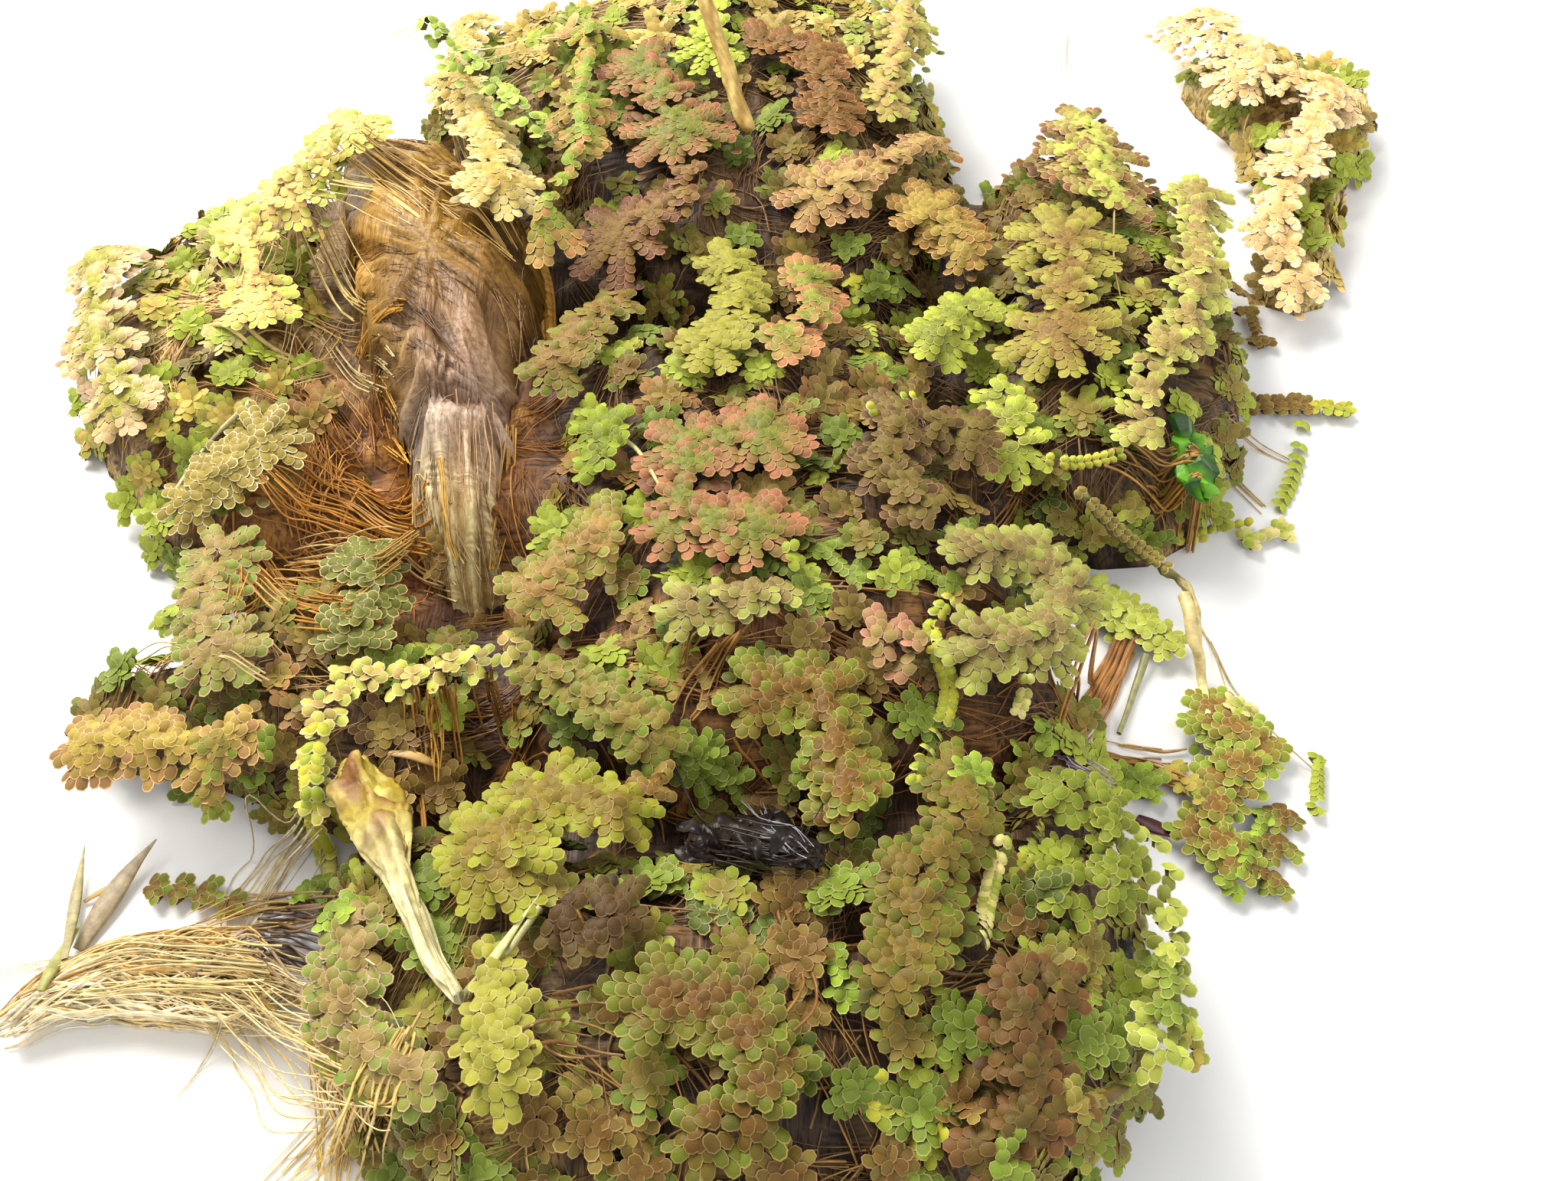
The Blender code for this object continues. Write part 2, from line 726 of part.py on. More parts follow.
def sheet_piece(collection, heap, name, colour, thickness, seen, outline_of, tilt):
    points, triangles = sheet_on_heap(heap, seen, outline_of, tilt)
    mesh = thicken(name, points, triangles, thickness)
    put_in(collection, name, mesh, colour)
    heap.take(surface_places(mesh))


def strip(collection, heap, name):
    colour, thickness, seen = STRIPS[name]
    sheet_piece(collection, heap, name, colour, thickness * MM, seen, strip_outline, Vector((0, 0)))


def plant(collection, heap, name):
    """One fern plant: lobes on both sides of a stem, bent over the heap."""
    colour, spacing, seen = PLANTS[name]
    rng = random.Random(name)
    sideways = rng.uniform(-TILT_SPREAD, TILT_SPREAD)
    tilt = Vector((sideways, math.tan(LEAN) + rng.uniform(-TILT_SPREAD, TILT_SPREAD)))

    def outline_of(spine, reaches):
        return lobed_outline(spine, reaches, spacing, rng)

    sheet_piece(collection, heap, name, colour, FROND_THICKNESS, seen, outline_of, tilt)


def stem(collection, heap, name):
    """A round stem that lies on the heap."""
    colour, radius, seen = STEMS[name]
    radius *= MM
    seen, least = [point[:2] for point in seen], [point[2] for point in seen]
    levels = resting_heights(heap, seen, least)
    places = [seen_at_height(*point, level) for point, level in zip(seen, levels)]
    ring = [turned(2 * math.pi * side / STEM_SIDES, radius + CELL) for side in range(STEM_SIDES)]
    for _ in range(SETTLING_ROUNDS):
        for i in range(len(places) - 1):
            for share in np.linspace(0, 1, STEM_SAMPLES):
                along = places[i].lerp(places[i + 1], share).to_2d()
                under = max(heap.under(np.array(along + r)) for r in ring) + GAP + radius
                short = under - (levels[i] * (1 - share) + levels[i + 1] * share)
                if short > 0:
                    levels[i] += short
                    levels[i + 1] += short
    data = bpy.data.curves.new(name, "CURVE")
    data.dimensions = "3D"
    data.bevel_depth = radius
    data.bevel_resolution = 1
    data.use_fill_caps = True
    line = data.splines.new("POLY")
    line.points.add(len(places) - 1)
    for point, place, level in zip(line.points, places, levels):
        point.co = (place.x, place.y, level, 1)
    made = put_in(collection, name, data, colour)
    bpy.context.view_layer.update()
    mesh = made.evaluated_get(bpy.context.evaluated_depsgraph_get()).to_mesh()
    heap.take(surface_places(mesh))


def clear_scene():
    for old in list(bpy.data.objects):
        bpy.data.objects.remove(old)


def main():
    clear_scene()
    clump = bpy.data.collections.new("mosquito_fern")
    bpy.context.scene.collection.children.link(clump)
    heap = Heap()
    for name in ROOT_MATS:
        root_mat(clump, heap, name)
    heap.bridge()
    for name in STRIPS:
        strip(clump, heap, name)
    for name in PLANTS:
        plant(clump, heap, name)
    for name in STEMS:
        stem(clump, heap, name)


main()
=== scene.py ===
"""Mosquito fern clump: leaf scales, small fronds, roots and litter over the solids, on a white surface.

Lengths are in metres, +Z is up and +Y leads away from the viewer. A place may be given by the column and row
where the camera sees it, and then lies where that line of sight meets the clump.
"""

import json
import math
import random

import bmesh
import bpy
import numpy as np
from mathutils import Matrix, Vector, noise
from mathutils.bvhtree import BVHTree


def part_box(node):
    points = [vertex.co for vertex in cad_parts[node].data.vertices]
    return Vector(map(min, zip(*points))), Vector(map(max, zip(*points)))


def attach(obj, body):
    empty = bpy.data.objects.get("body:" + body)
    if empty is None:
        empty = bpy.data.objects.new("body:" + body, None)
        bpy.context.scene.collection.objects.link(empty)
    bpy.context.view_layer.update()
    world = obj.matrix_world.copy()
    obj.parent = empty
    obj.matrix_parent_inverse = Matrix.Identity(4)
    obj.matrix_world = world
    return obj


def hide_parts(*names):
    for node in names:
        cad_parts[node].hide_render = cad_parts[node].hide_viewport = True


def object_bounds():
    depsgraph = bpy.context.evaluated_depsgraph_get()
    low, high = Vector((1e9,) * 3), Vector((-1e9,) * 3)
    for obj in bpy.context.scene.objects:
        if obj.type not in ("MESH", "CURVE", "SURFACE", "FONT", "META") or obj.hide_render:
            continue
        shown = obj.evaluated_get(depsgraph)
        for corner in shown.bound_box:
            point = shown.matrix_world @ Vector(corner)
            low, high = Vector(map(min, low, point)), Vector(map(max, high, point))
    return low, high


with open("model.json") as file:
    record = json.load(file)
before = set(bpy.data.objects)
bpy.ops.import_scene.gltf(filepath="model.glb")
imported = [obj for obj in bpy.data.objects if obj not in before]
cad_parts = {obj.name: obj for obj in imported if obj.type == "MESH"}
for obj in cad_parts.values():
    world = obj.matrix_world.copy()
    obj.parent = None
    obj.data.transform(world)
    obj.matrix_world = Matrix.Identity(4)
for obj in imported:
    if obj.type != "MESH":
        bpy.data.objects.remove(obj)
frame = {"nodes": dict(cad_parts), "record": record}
cad_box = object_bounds()
NODES = frame["nodes"]
MM = 0.001
DOWN = Vector((0, 0, -1))

# The line of sight

WIDTH, HEIGHT = 2048, 1542
LENS, SENSOR = 35, 36
FOCAL = LENS / SENSOR * WIDTH
ELEVATION = math.radians(52)
LOOK_AT = Vector((6 * MM, -14 * MM, 12 * MM))
EYE_DISTANCE_MM = 95
AHEAD = Vector((0, math.cos(ELEVATION), -math.sin(ELEVATION)))
UPWARD = Vector((0, math.sin(ELEVATION), math.cos(ELEVATION)))
EYE = LOOK_AT - AHEAD * EYE_DISTANCE_MM * MM


def sight(column, row):
    """The way from the eye to what it sees at this column and row."""
    across = (column - WIDTH / 2) / FOCAL
    up = (HEIGHT / 2 - row) / FOCAL
    return (Vector((across, 0, 0)) + up * UPWARD + AHEAD).normalized()


# Tones: linear colours of leaf scales and their rims, and the painted shade of what shows between them

TONES = {
    "green": (0.19, 0.26, 0.024),
    "deep": (0.09, 0.12, 0.014),
    "lime": (0.37, 0.43, 0.04),
    "bright": (0.34, 0.49, 0.035),
    "yellow": (0.56, 0.50, 0.04),
    "olive": (0.27, 0.20, 0.035),
    "brown": (0.20, 0.105, 0.02),
    "purple": (0.19, 0.10, 0.035),
    "rose": (0.38, 0.18, 0.06),
    "russet": (0.25, 0.10, 0.025),
    "cream": (0.80, 0.66, 0.26),
    "ochre": (0.58, 0.40, 0.08),
    "straw": (0.84, 0.62, 0.17),
    # Painted shade: the dark tone of the lobe cores that show between the scales
    "crevice_shade": (0.10, 0.025, 0.012),
    "pink_rim": (0.66, 0.38, 0.18),
    "pale_rim": (0.62, 0.52, 0.20),
    "lemon_rim": (0.66, 0.64, 0.20),
    "white_rim": (0.92, 0.84, 0.55),
}

# Looks of a plant: scales near the stem, scales at the tips, and rims

LOOKS = {
    "pink": ("green", "rose", "pink_rim"),
    "rose": ("olive", "rose", "pink_rim"),
    "purple": ("olive", "purple", "pink_rim"),
    "brown": ("olive", "brown", "pink_rim"),
    "russet": ("brown", "russet", "pink_rim"),
    "brown_green": ("brown", "green", "pale_rim"),
    "olive": ("olive", "green", "pink_rim"),
    "olive_brown": ("brown", "olive", "pink_rim"),
    "green": ("green", "green", "pale_rim"),
    "deep": ("deep", "deep", "pale_rim"),
    "lime": ("lime", "lime", "lemon_rim"),
    "bright": ("green", "bright", "lemon_rim"),
    "tan": ("green", "rose", "pale_rim"),
    "bead": ("brown", "green", "pale_rim"),
    "yellow": ("yellow", "lime", "lemon_rim"),
    "ochre": ("ochre", "lime", "pale_rim"),
    "cream": ("ochre", "cream", "white_rim"),
    "straw": ("ochre", "straw", "white_rim"),
    "pale": ("lime", "cream", "white_rim"),
    "lime_olive": ("olive", "lime", "pale_rim"),
    "olive_pale": ("olive", "olive", "white_rim"),
    "triangle": ("lime", "brown", "pink_rim"),
    "pale_lime": ("lime", "yellow", "white_rim"),
}

# Which way the tones of a plant lean from those of its look

LEANS = {"plain": (1, 1, 1), "warm": (1.05, 0.95, 0.7), "rosy": (1.15, 0.93, 1.2), "milky": (1.03, 0.97, 1.6)}

# Plants: look, degrees between lobes, lean, light, and each stem point's column, row and reach in mm. The
# light is partly each plant's own tone and partly painted light, higher for plants at the back and left where
# white light spills over them

PLANTS = {
    "fern_front_large": (
        "lime_olive", 48, "warm", 0.8,
        ((640, 1125, 4.2), (722, 1045, 3.4), (805, 1075, 2.8)),
    ),
    "fern_stalked": ("lime", 56, "rosy", 0.85, ((640, 1268, 2.0), (650, 1345, 2.8), (658, 1412, 2.4))),
    "fern_front_main": (
        "brown_green", 58, "warm", 0.7,
        ((880, 1315, 3.4), (950, 1325, 3.1), (1003, 1398, 2.4), (985, 1465, 2.1), (925, 1487, 2.3)),
    ),
    "fern_arch": (
        "lime_olive", 90, "milky", 1.75,
        (
            (420, 1055, 1.3), (412, 1000, 1.3), (430, 940, 1.3), (465, 895, 1.3), (520, 903, 1.3),
            (570, 888, 1.3), (620, 870, 1.3), (668, 853, 1.2),
        ),
    ),
    "fern_arch_right": (
        "olive", 65, "plain", 0.9,
        ((702, 885, 1.7), (750, 905, 2.0), (800, 935, 2.4), (848, 968, 2.7)),
    ),
    "fern_left_large": (
        "olive", 62, "milky", 1.15,
        ((480, 1215, 2.8), (455, 1285, 2.9), (455, 1350, 2.7), (512, 1398, 2.5), (568, 1412, 2.4)),
    ),
    "fern_pink": (
        "pink", 53, "rosy", 0.85,
        ((990, 588, 3.7), (905, 602, 3.7), (888, 698, 2.9), (978, 708, 3.6)),
    ),
    "fern_large": (
        "lime_olive", 58, "milky", 0.9,
        ((1283, 735, 2.9), (1345, 732, 2.9), (1393, 782, 2.9), (1362, 850, 2.9), (1288, 848, 2.9)),
    ),
    "fern_olive_front": (
        "olive", 62, "warm", 0.65,
        ((1245, 1018, 2.4), (1255, 1090, 2.6), (1195, 1165, 2.8), (1195, 1228, 2.9), (1168, 1285, 2.4)),
    ),
    "fern_front_centre": (
        "brown_green", 56, "warm", 0.85,
        ((1000, 915, 2.9), (1072, 915, 3.5), (1095, 1010, 2.8), (1112, 1070, 3.4), (1168, 1110, 2.7)),
    ),
    "fern_right_edge": (
        "lime", 90, "milky", 1.25,
        (
            (1496, 1110, 1.1), (1512, 1150, 1.1), (1518, 1190, 1.1), (1518, 1238, 1.2), (1520, 1288, 1.5),
            (1522, 1335, 1.8), (1508, 1378, 1.8),
        ),
    ),
    "fern_right_mid": (
        "green", 66, "warm", 0.9,
        ((1385, 1050, 2.4), (1437, 1065, 2.4), (1452, 1118, 1.7), (1446, 1172, 2.1), (1395, 1172, 2.1)),
    ),
    "fern_bead": (
        "bead", 60, "plain", 1.4,
        ((1585, 948, 2.9), (1628, 985, 2.9), (1592, 1040, 2.7), (1568, 1092, 2.2), (1605, 1130, 2.1)),
    ),
    "fern_green_right": ("lime_olive", 49, "rosy", 0.9, ((1388, 334, 4.8), (1378, 456, 4.5))),
    "fern_triangle": (
        "triangle", 52, "milky", 1.35,
        ((1445, 285, 3.9), (1424, 226, 5.4), (1412, 175, 3.4)),
    ),
    "fern_right_green": (
        "lime_olive", 62, "milky", 1.35,
        ((1556, 275, 4.1), (1562, 384, 2.9), (1540, 450, 2.7), (1495, 490, 2.6), (1500, 560, 2.8)),
    ),
    "fern_bright": ("bright", 54, "rosy", 1.1, ((1225, 458, 2.8), (1262, 418, 3.2))),
    "fern_lime": (
        "lime", 62, "rosy", 0.8,
        ((948, 352, 2.8), (970, 392, 2.6), (955, 430, 2.5), (926, 466, 2.9)),
    ),
    "fern_tan": ("tan", 56, "rosy", 1.15, ((1048, 372, 3.6), (1064, 422, 2.0), (1012, 462, 3.1))),
    "fern_purple": ("purple", 50, "rosy", 0.8, ((817, 315, 4.8), (889, 286, 4.1), (951, 311, 3.1))),
    "fern_brown_right": ("brown", 50, "plain", 1.5, ((1215, 290, 3.9), (1262, 325, 3.2))),
    "fern_light_green": ("bright", 56, "rosy", 1.3, ((1308, 528, 2.5), (1325, 595, 2.7))),
    "fern_brown_purple": (
        "purple", 54, "plain", 0.7,
        ((1265, 575, 3.2), (1178, 562, 3.1), (1150, 622, 2.7), (1205, 680, 3.2)),
    ),
    "fern_olive": ("olive", 50, "rosy", 1.05, ((712, 776, 3.7), (745, 735, 2.1), (797, 711, 3.6))),
    "fern_olive_right": (
        "lime_olive", 58, "milky", 1,
        ((905, 800, 2.4), (950, 795, 2.6), (1003, 775, 2.6)),
    ),
    "fern_rose_lower": ("rose", 54, "milky", 1.15, ((1150, 850, 2.6), (1195, 868, 2.6), (1228, 898, 2.4))),
    "fern_bright_right": (
        "lime", 60, "milky", 1.35,
        ((1430, 790, 2.0), (1470, 815, 2.2), (1515, 845, 1.9)),
    ),
    "fern_green_stem": ("bright", 60, "warm", 0.8, ((785, 572, 2.4), (788, 612, 2.2), (812, 642, 2.1))),
    "fern_left_pale": (
        "olive_pale", 52, "plain", 1.25,
        ((345, 585, 3.1), (300, 625, 3.5), (258, 658, 2.7)),
    ),
    "fern_left_middle": ("olive", 52, "milky", 1.2, ((292, 735, 3.1), (270, 795, 2.8), (290, 862, 3.2))),
    "fern_dark_left": ("deep", 56, "rosy", 1.5, ((478, 745, 2.9), (495, 795, 2.0), (462, 845, 2.8))),
    "fern_left_row": (
        "purple", 58, "plain", 1.75,
        ((128, 985, 2.9), (195, 972, 2.8), (280, 990, 2.5), (340, 950, 2.7), (392, 925, 2.4)),
    ),
    "fern_front_right": (
        "rose", 66, "warm", 0.4,
        ((1378, 1298, 2.2), (1330, 1300, 2.4), (1325, 1370, 2.2), (1370, 1440, 2.5), (1300, 1500, 2.5)),
    ),
    "fern_dark_front": ("olive_brown", 52, "warm", 0.35, ((742, 1205, 3.0), (800, 1218, 3.2))),
    "fern_back_lime": ("lime", 52, "plain", 1.15, ((926, 5, 2.9), (928, 88, 3.1))),
    "fern_rose_back": ("tan", 50, "rosy", 0.85, ((846, 108, 4.6), (886, 190, 4.8))),
    "fern_russet": ("russet", 58, "plain", 1, ((994, 66, 3.1), (1063, 85, 3.4), (1083, 160, 3.2))),
    "fern_cream": (
        "cream", 60, "plain", 0.95,
        ((617, 50, 2.5), (598, 118, 3.1), (635, 182, 2.9), (655, 258, 3.6)),
    ),
    "fern_shade": (
        "tan", 58, "plain", 1.3,
        ((778, 72, 3.5), (768, 160, 3.6), (765, 232, 3.0), (718, 325, 3.4)),
    ),
    "fern_brown_gap": ("brown", 56, "milky", 1.7, ((1067, 262, 3.4), (1130, 255, 3.7), (1214, 205, 2.6))),
    "fern_back_ochre": (
        "ochre", 66, "milky", 1.05,
        ((1105, -30, 3.6), (1168, -5, 3.6), (1180, 60, 3.4), (1152, 145, 3.2)),
    ),
    "fern_far": (
        "straw", 70, "milky", 1.3,
        (
            (1560, 50, 4.4), (1620, 115, 3.7), (1735, 140, 3.5), (1690, 215, 3.2), (1655, 310, 3.2),
            (1690, 368, 2.9),
        ),
    ),
    "fern_left_edge": ("pale", 56, "rosy", 0.9, ((144, 367, 3.6), (138, 459, 3.5), (170, 545, 3.1))),
    "fern_left_upper": (
        "ochre", 60, "milky", 1.6,
        ((459, 190, 3.8), (385, 262, 3.6), (322, 305, 3.1), (342, 400, 3.1)),
    ),
    "fern_olive_back": ("olive", 60, "rosy", 0.85, ((725, 480, 2.9), (762, 440, 2.7), (803, 408, 2.4))),
    "fern_sickle": (
        "bright", 80, "milky", 1.7,
        ((558, 32, 0.9), (600, 76, 1.3), (648, 122, 1.6), (690, 165, 2.0), (712, 190, 1.3)),
    ),
}

# Small fronds that lie on the roots between the plants: look, reach in mm, and stem points as column and row

FRONDS = (
    ("brown", 1.9, ((825, 435), (880, 435))),
    ("yellow", 2.0, ((807, 459),)),
    ("lime", 1.9, ((1235, 1300), (1225, 1360), (1215, 1400))),
    ("ochre", 2.4, ((774, 33), (741, 108))),
    ("bright", 1.7, ((1221, 246), (1290, 262))),
    ("yellow", 1.4, ((1113, 362), (1122, 410), (1140, 462))),
    ("green", 2.3, ((1168, 361),)),
    ("green", 2.1, ((1158, 485),)),
    ("brown", 1.5, ((1602, 370), (1628, 410), (1641, 449))),
    ("olive_brown", 1.5, ((1625, 538), (1642, 537), (1660, 536), (1678, 536), (1695, 537))),
    ("yellow", 1.1, ((1710, 538), (1725, 540), (1738, 541), (1750, 542))),
    ("pale", 1.5, ((1622, 715), (1665, 700))),
    ("purple", 1.7, ((830, 790), (850, 830), (800, 850))),
    ("lime", 1.1, ((1030, 728), (1050, 745), (1068, 770), (1085, 795))),
    ("pink", 1.2, ((742, 856), (790, 872), (830, 885), (872, 892))),
    ("lime_olive", 2.3, ((1411, 540),)),
    ("lime", 1.4, ((1120, 568), (1070, 618))),
    ("deep", 1.8, ((1368, 655),)),
    ("green", 1.5, ((1070, 712), (1110, 755), (1155, 755))),
    ("green", 1.4, ((1168, 724), (1234, 753))),
    ("bright", 1.4, ((1370, 955), (1345, 985))),
    ("purple", 1.9, ((1103, 661),)),
    ("ochre", 2.4, ((426, 213),)),
    ("ochre", 2.2, ((249, 361), (216, 403))),
    ("lime", 1.6, ((230, 725), (215, 800))),
    ("green", 2.0, ((350, 1005), (370, 1050))),
    ("olive", 1.8, ((290, 960), (275, 1030))),
    ("olive_brown", 1.8, ((580, 730), (575, 790), (620, 805))),
    ("lime", 1.3, ((587, 835), (560, 845))),
    ("bright", 1.9, ((405, 1160), (440, 1180))),
    ("brown_green", 1.5, ((200, 1168), (232, 1166), (265, 1172), (300, 1184))),
    ("green", 2.3, ((912, 1008), (951, 1022), (985, 1008))),
    ("olive_brown", 1.8, ((845, 1035), (880, 1050))),
    ("yellow", 1.0, ((1040, 1000), (1030, 1030), (1020, 1062))),
    ("yellow", 0.9, ((925, 1132), (952, 1138), (978, 1132))),
    ("olive_brown", 1.2, ((1000, 1152), (1042, 1156), (1080, 1152))),
    ("green", 1.1, ((848, 1150), (880, 1156), (905, 1160))),
    ("deep", 1.6, ((905, 1200), (950, 1185), (990, 1200))),
    ("olive_brown", 1.6, ((1015, 1215), (1040, 1260), (1050, 1310))),
    ("olive_brown", 1.5, ((905, 855), (930, 905))),
    ("green", 1.5, ((1045, 990), (1060, 1085))),
    ("bright", 1.5, ((1270, 1010),)),
    ("bright", 1.4, ((1085, 1240), (1100, 1290))),
    ("bright", 1.2, ((1065, 1190), (1095, 1145))),
    ("olive", 1.4, ((1430, 1265), (1425, 1320), (1405, 1375))),
    ("yellow", 1.7, ((1130, 1440), (1180, 1430), (1205, 1480))),
    ("olive_brown", 1.9, ((1250, 1440),)),
    ("olive", 1.9, ((1400, 1450), (1450, 1490))),
    ("green", 1.8, ((1150, 1530), (1230, 1540), (1300, 1520))),
    ("lime", 1.3, ((1496, 1487),)),
    ("deep", 1.9, ((1352, 1159),)),
    ("green", 1.2, ((1385, 1235),)),
    ("green", 1.7, ((1520, 1250), (1530, 1310))),
    ("ochre", 1.1, ((1556, 1372),)),
    ("bright", 1.2, ((1650, 1068), (1635, 1105), (1612, 1150))),
    ("bead", 2.1, ((1672, 1062), (1665, 1100), (1655, 1145))),
    ("bright", 1.9, ((1487, 1028),)),
    ("ochre", 1.3, ((1522, 1008), (1548, 1022), (1570, 1040))),
    ("lime", 0.9, ((1718, 995), (1716, 1060))),
    ("pale", 1.3, ((1620, 925),)),
    ("olive_brown", 1.9, ((760, 1490), (820, 1460), (850, 1520))),
    ("olive", 1.3, ((751, 1434),)),
)

# Chains of round leaves that hang over the clump: look, leaf size, and the columns and rows that they pass

CHAINS = (
    ("lime", 1.15, ((1697, 560), (1690, 610), (1675, 650), (1655, 680))),
    ("pale_lime", 0.95, ((1500, 706), (1560, 700), (1610, 690), (1650, 682))),
    ("pale_lime", 1.2, ((418, 955), (408, 1000), (412, 1050), (424, 1100), (438, 1150))),
    (
        "pale_lime", 0.95,
        ((1253, 768), (1222, 800), (1214, 830), (1228, 860), (1240, 893), (1237, 925), (1222, 958)),
    ),
    ("pale_lime", 0.9, ((1214, 965), (1198, 1005), (1190, 1040))),
    ("pale_lime", 0.95, ((1313, 1045), (1350, 1075), (1345, 1105), (1325, 1140), (1312, 1170))),
    ("pale", 0.85, ((1308, 1098), (1297, 1135), (1288, 1175), (1278, 1215), (1268, 1250))),
    ("pale_lime", 0.8, ((1365, 600), (1400, 607), (1450, 597), (1490, 583))),
    ("pale_lime", 0.9, ((1132, 538), (1180, 522), (1220, 527), (1252, 545))),
    ("pale", 0.8, ((1340, 880), (1335, 915), (1320, 950))),
    ("olive_pale", 0.8, ((1408, 642), (1436, 668), (1470, 702), (1508, 730), (1545, 760))),
)


# Meshes


def mesh_of(name, points, triangles, tints, rims=None, edges=None):
    """A smooth mesh from points and triangles, kept in the clump's box, with a colour at each point."""
    mesh = bpy.data.meshes.new(name)
    points = np.clip(points, tuple(cad_box[0]), tuple(cad_box[1]))
    mesh.vertices.add(len(points))
    mesh.vertices.foreach_set("co", np.asarray(points, np.float32).ravel())
    mesh.loops.add(len(triangles) * 3)
    mesh.loops.foreach_set("vertex_index", np.asarray(triangles, np.int32).ravel())
    mesh.polygons.add(len(triangles))
    mesh.polygons.foreach_set("loop_start", np.arange(len(triangles), dtype=np.int32) * 3)
    mesh.polygons.foreach_set("use_smooth", np.ones(len(triangles), bool))
    mesh.update(calc_edges=True)
    for title, colours in (("tint", tints), ("rim", rims)):
        if colours is not None:
            layer = mesh.color_attributes.new(title, "FLOAT_COLOR", "POINT")
            rgba = np.ones((len(points), 4), np.float32)
            rgba[:, :3] = np.clip(colours, 0, 1)
            layer.data.foreach_set("color", rgba.ravel())
    if edges is not None:
        mesh.attributes.new("edge", "FLOAT", "POINT").data.foreach_set("value", np.asarray(edges, np.float32))
    return mesh


def put(name, mesh, material, slot, replaced=()):
    """Links a piece to the scene, riding on the clump."""
    piece = bpy.data.objects.new(name, mesh)
    bpy.context.scene.collection.objects.link(piece)
    piece.data.materials.clear()
    piece.data.materials.append(material)
    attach(piece, "root")
    if replaced:
        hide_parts(*replaced)


def tree_over(meshes):
    """A tree for casting rays at these meshes."""
    points, triangles = [], []
    for mesh in meshes:
        first = len(points)
        mesh.calc_loop_triangles()
        points += [v.co.copy() for v in mesh.vertices]
        triangles += [[first + i for i in t.vertices] for t in mesh.loop_triangles]
    return BVHTree.FromPolygons(points, triangles)


def solids(names):
    """The meshes of these nodes."""
    return [NODES[name].data for name in names]


MATS = [name for name in NODES if name.startswith("root_mat")]
all_tree = tree_over(solids(NODES))
plant_trees = {name: tree_over(solids([name])) for name in PLANTS}
felt_tree = tree_over(solids(["wet_root_felt"]))
ABOVE_ALL = 100 * MM


def top_of(tree, place):
    """The height of the solids' top over a place, or None."""
    hit = tree.ray_cast(Vector((place[0], place[1], ABOVE_ALL)), DOWN)[0]
    return hit.z if hit else None


def seen_on(tree, column, row):
    """Where the line of sight meets the solids, or the floor."""
    way = sight(column, row)
    return tree.ray_cast(EYE, way)[0] or EYE - way * (EYE.z / way.z)


# Leaf scales

SCALE_RINGS = ((0.62, 0.84), (1.0, -0.15))
SCALE_SIDES = 8
SCALE_SQUARE = (0.8, 0.85)


def squared(value, power):
    """A sine or cosine, changed so that a circle of them becomes squarer."""
    return math.copysign(abs(value) ** power, value)


def scale_template(rings):
    """Points of one leaf scale: across, along, height and how far out each is; and its triangles."""
    points = [(0, 0, 1, 0)]
    for out, level in rings:
        for k in range(SCALE_SIDES):
            angle = 2 * math.pi * (k + 0.5) / SCALE_SIDES
            across = squared(math.cos(angle), SCALE_SQUARE[0])
            along = squared(math.sin(angle), SCALE_SQUARE[1])
            points.append((across * out, along * out, level, out))
    triangles = []
    for k in range(SCALE_SIDES):
        j = (k + 1) % SCALE_SIDES
        triangles.append((0, 1 + k, 1 + j))
        for r in range(len(rings) - 1):
            a, b = 1 + r * SCALE_SIDES, 1 + (r + 1) * SCALE_SIDES
            triangles += [(a + k, b + k, b + j), (a + k, b + j, a + j)]
    return np.array(points, float), np.array(triangles)


CORE_SIDES = 5


def core_template():
    """Points and triangles of a double pyramid, which fills a lobe under its scales."""
    turns = [2 * math.pi * k / CORE_SIDES for k in range(CORE_SIDES)]
    points = [(0, 0, 1, 0)] + [(math.cos(turn), math.sin(turn), 0, 0) for turn in turns] + [(0, 0, -1, 0)]
    triangles = []
    for k in range(CORE_SIDES):
        j = (k + 1) % CORE_SIDES
        triangles += [(0, 1 + k, 1 + j), (CORE_SIDES + 1, 1 + j, 1 + k)]
    return np.array(points), np.array(triangles)


# Leaf scales and single roots keep this far inside the clump's box

INSET = Vector((0.4, 0.4, 0.3)) * MM
INNER_LOW, INNER_HIGH = cad_box[0] + INSET, cad_box[1] - INSET


def unit(rows):
    """These vectors, each with the length 1."""
    return rows / np.maximum(np.linalg.norm(rows, axis=1)[:, None], 1e-9)


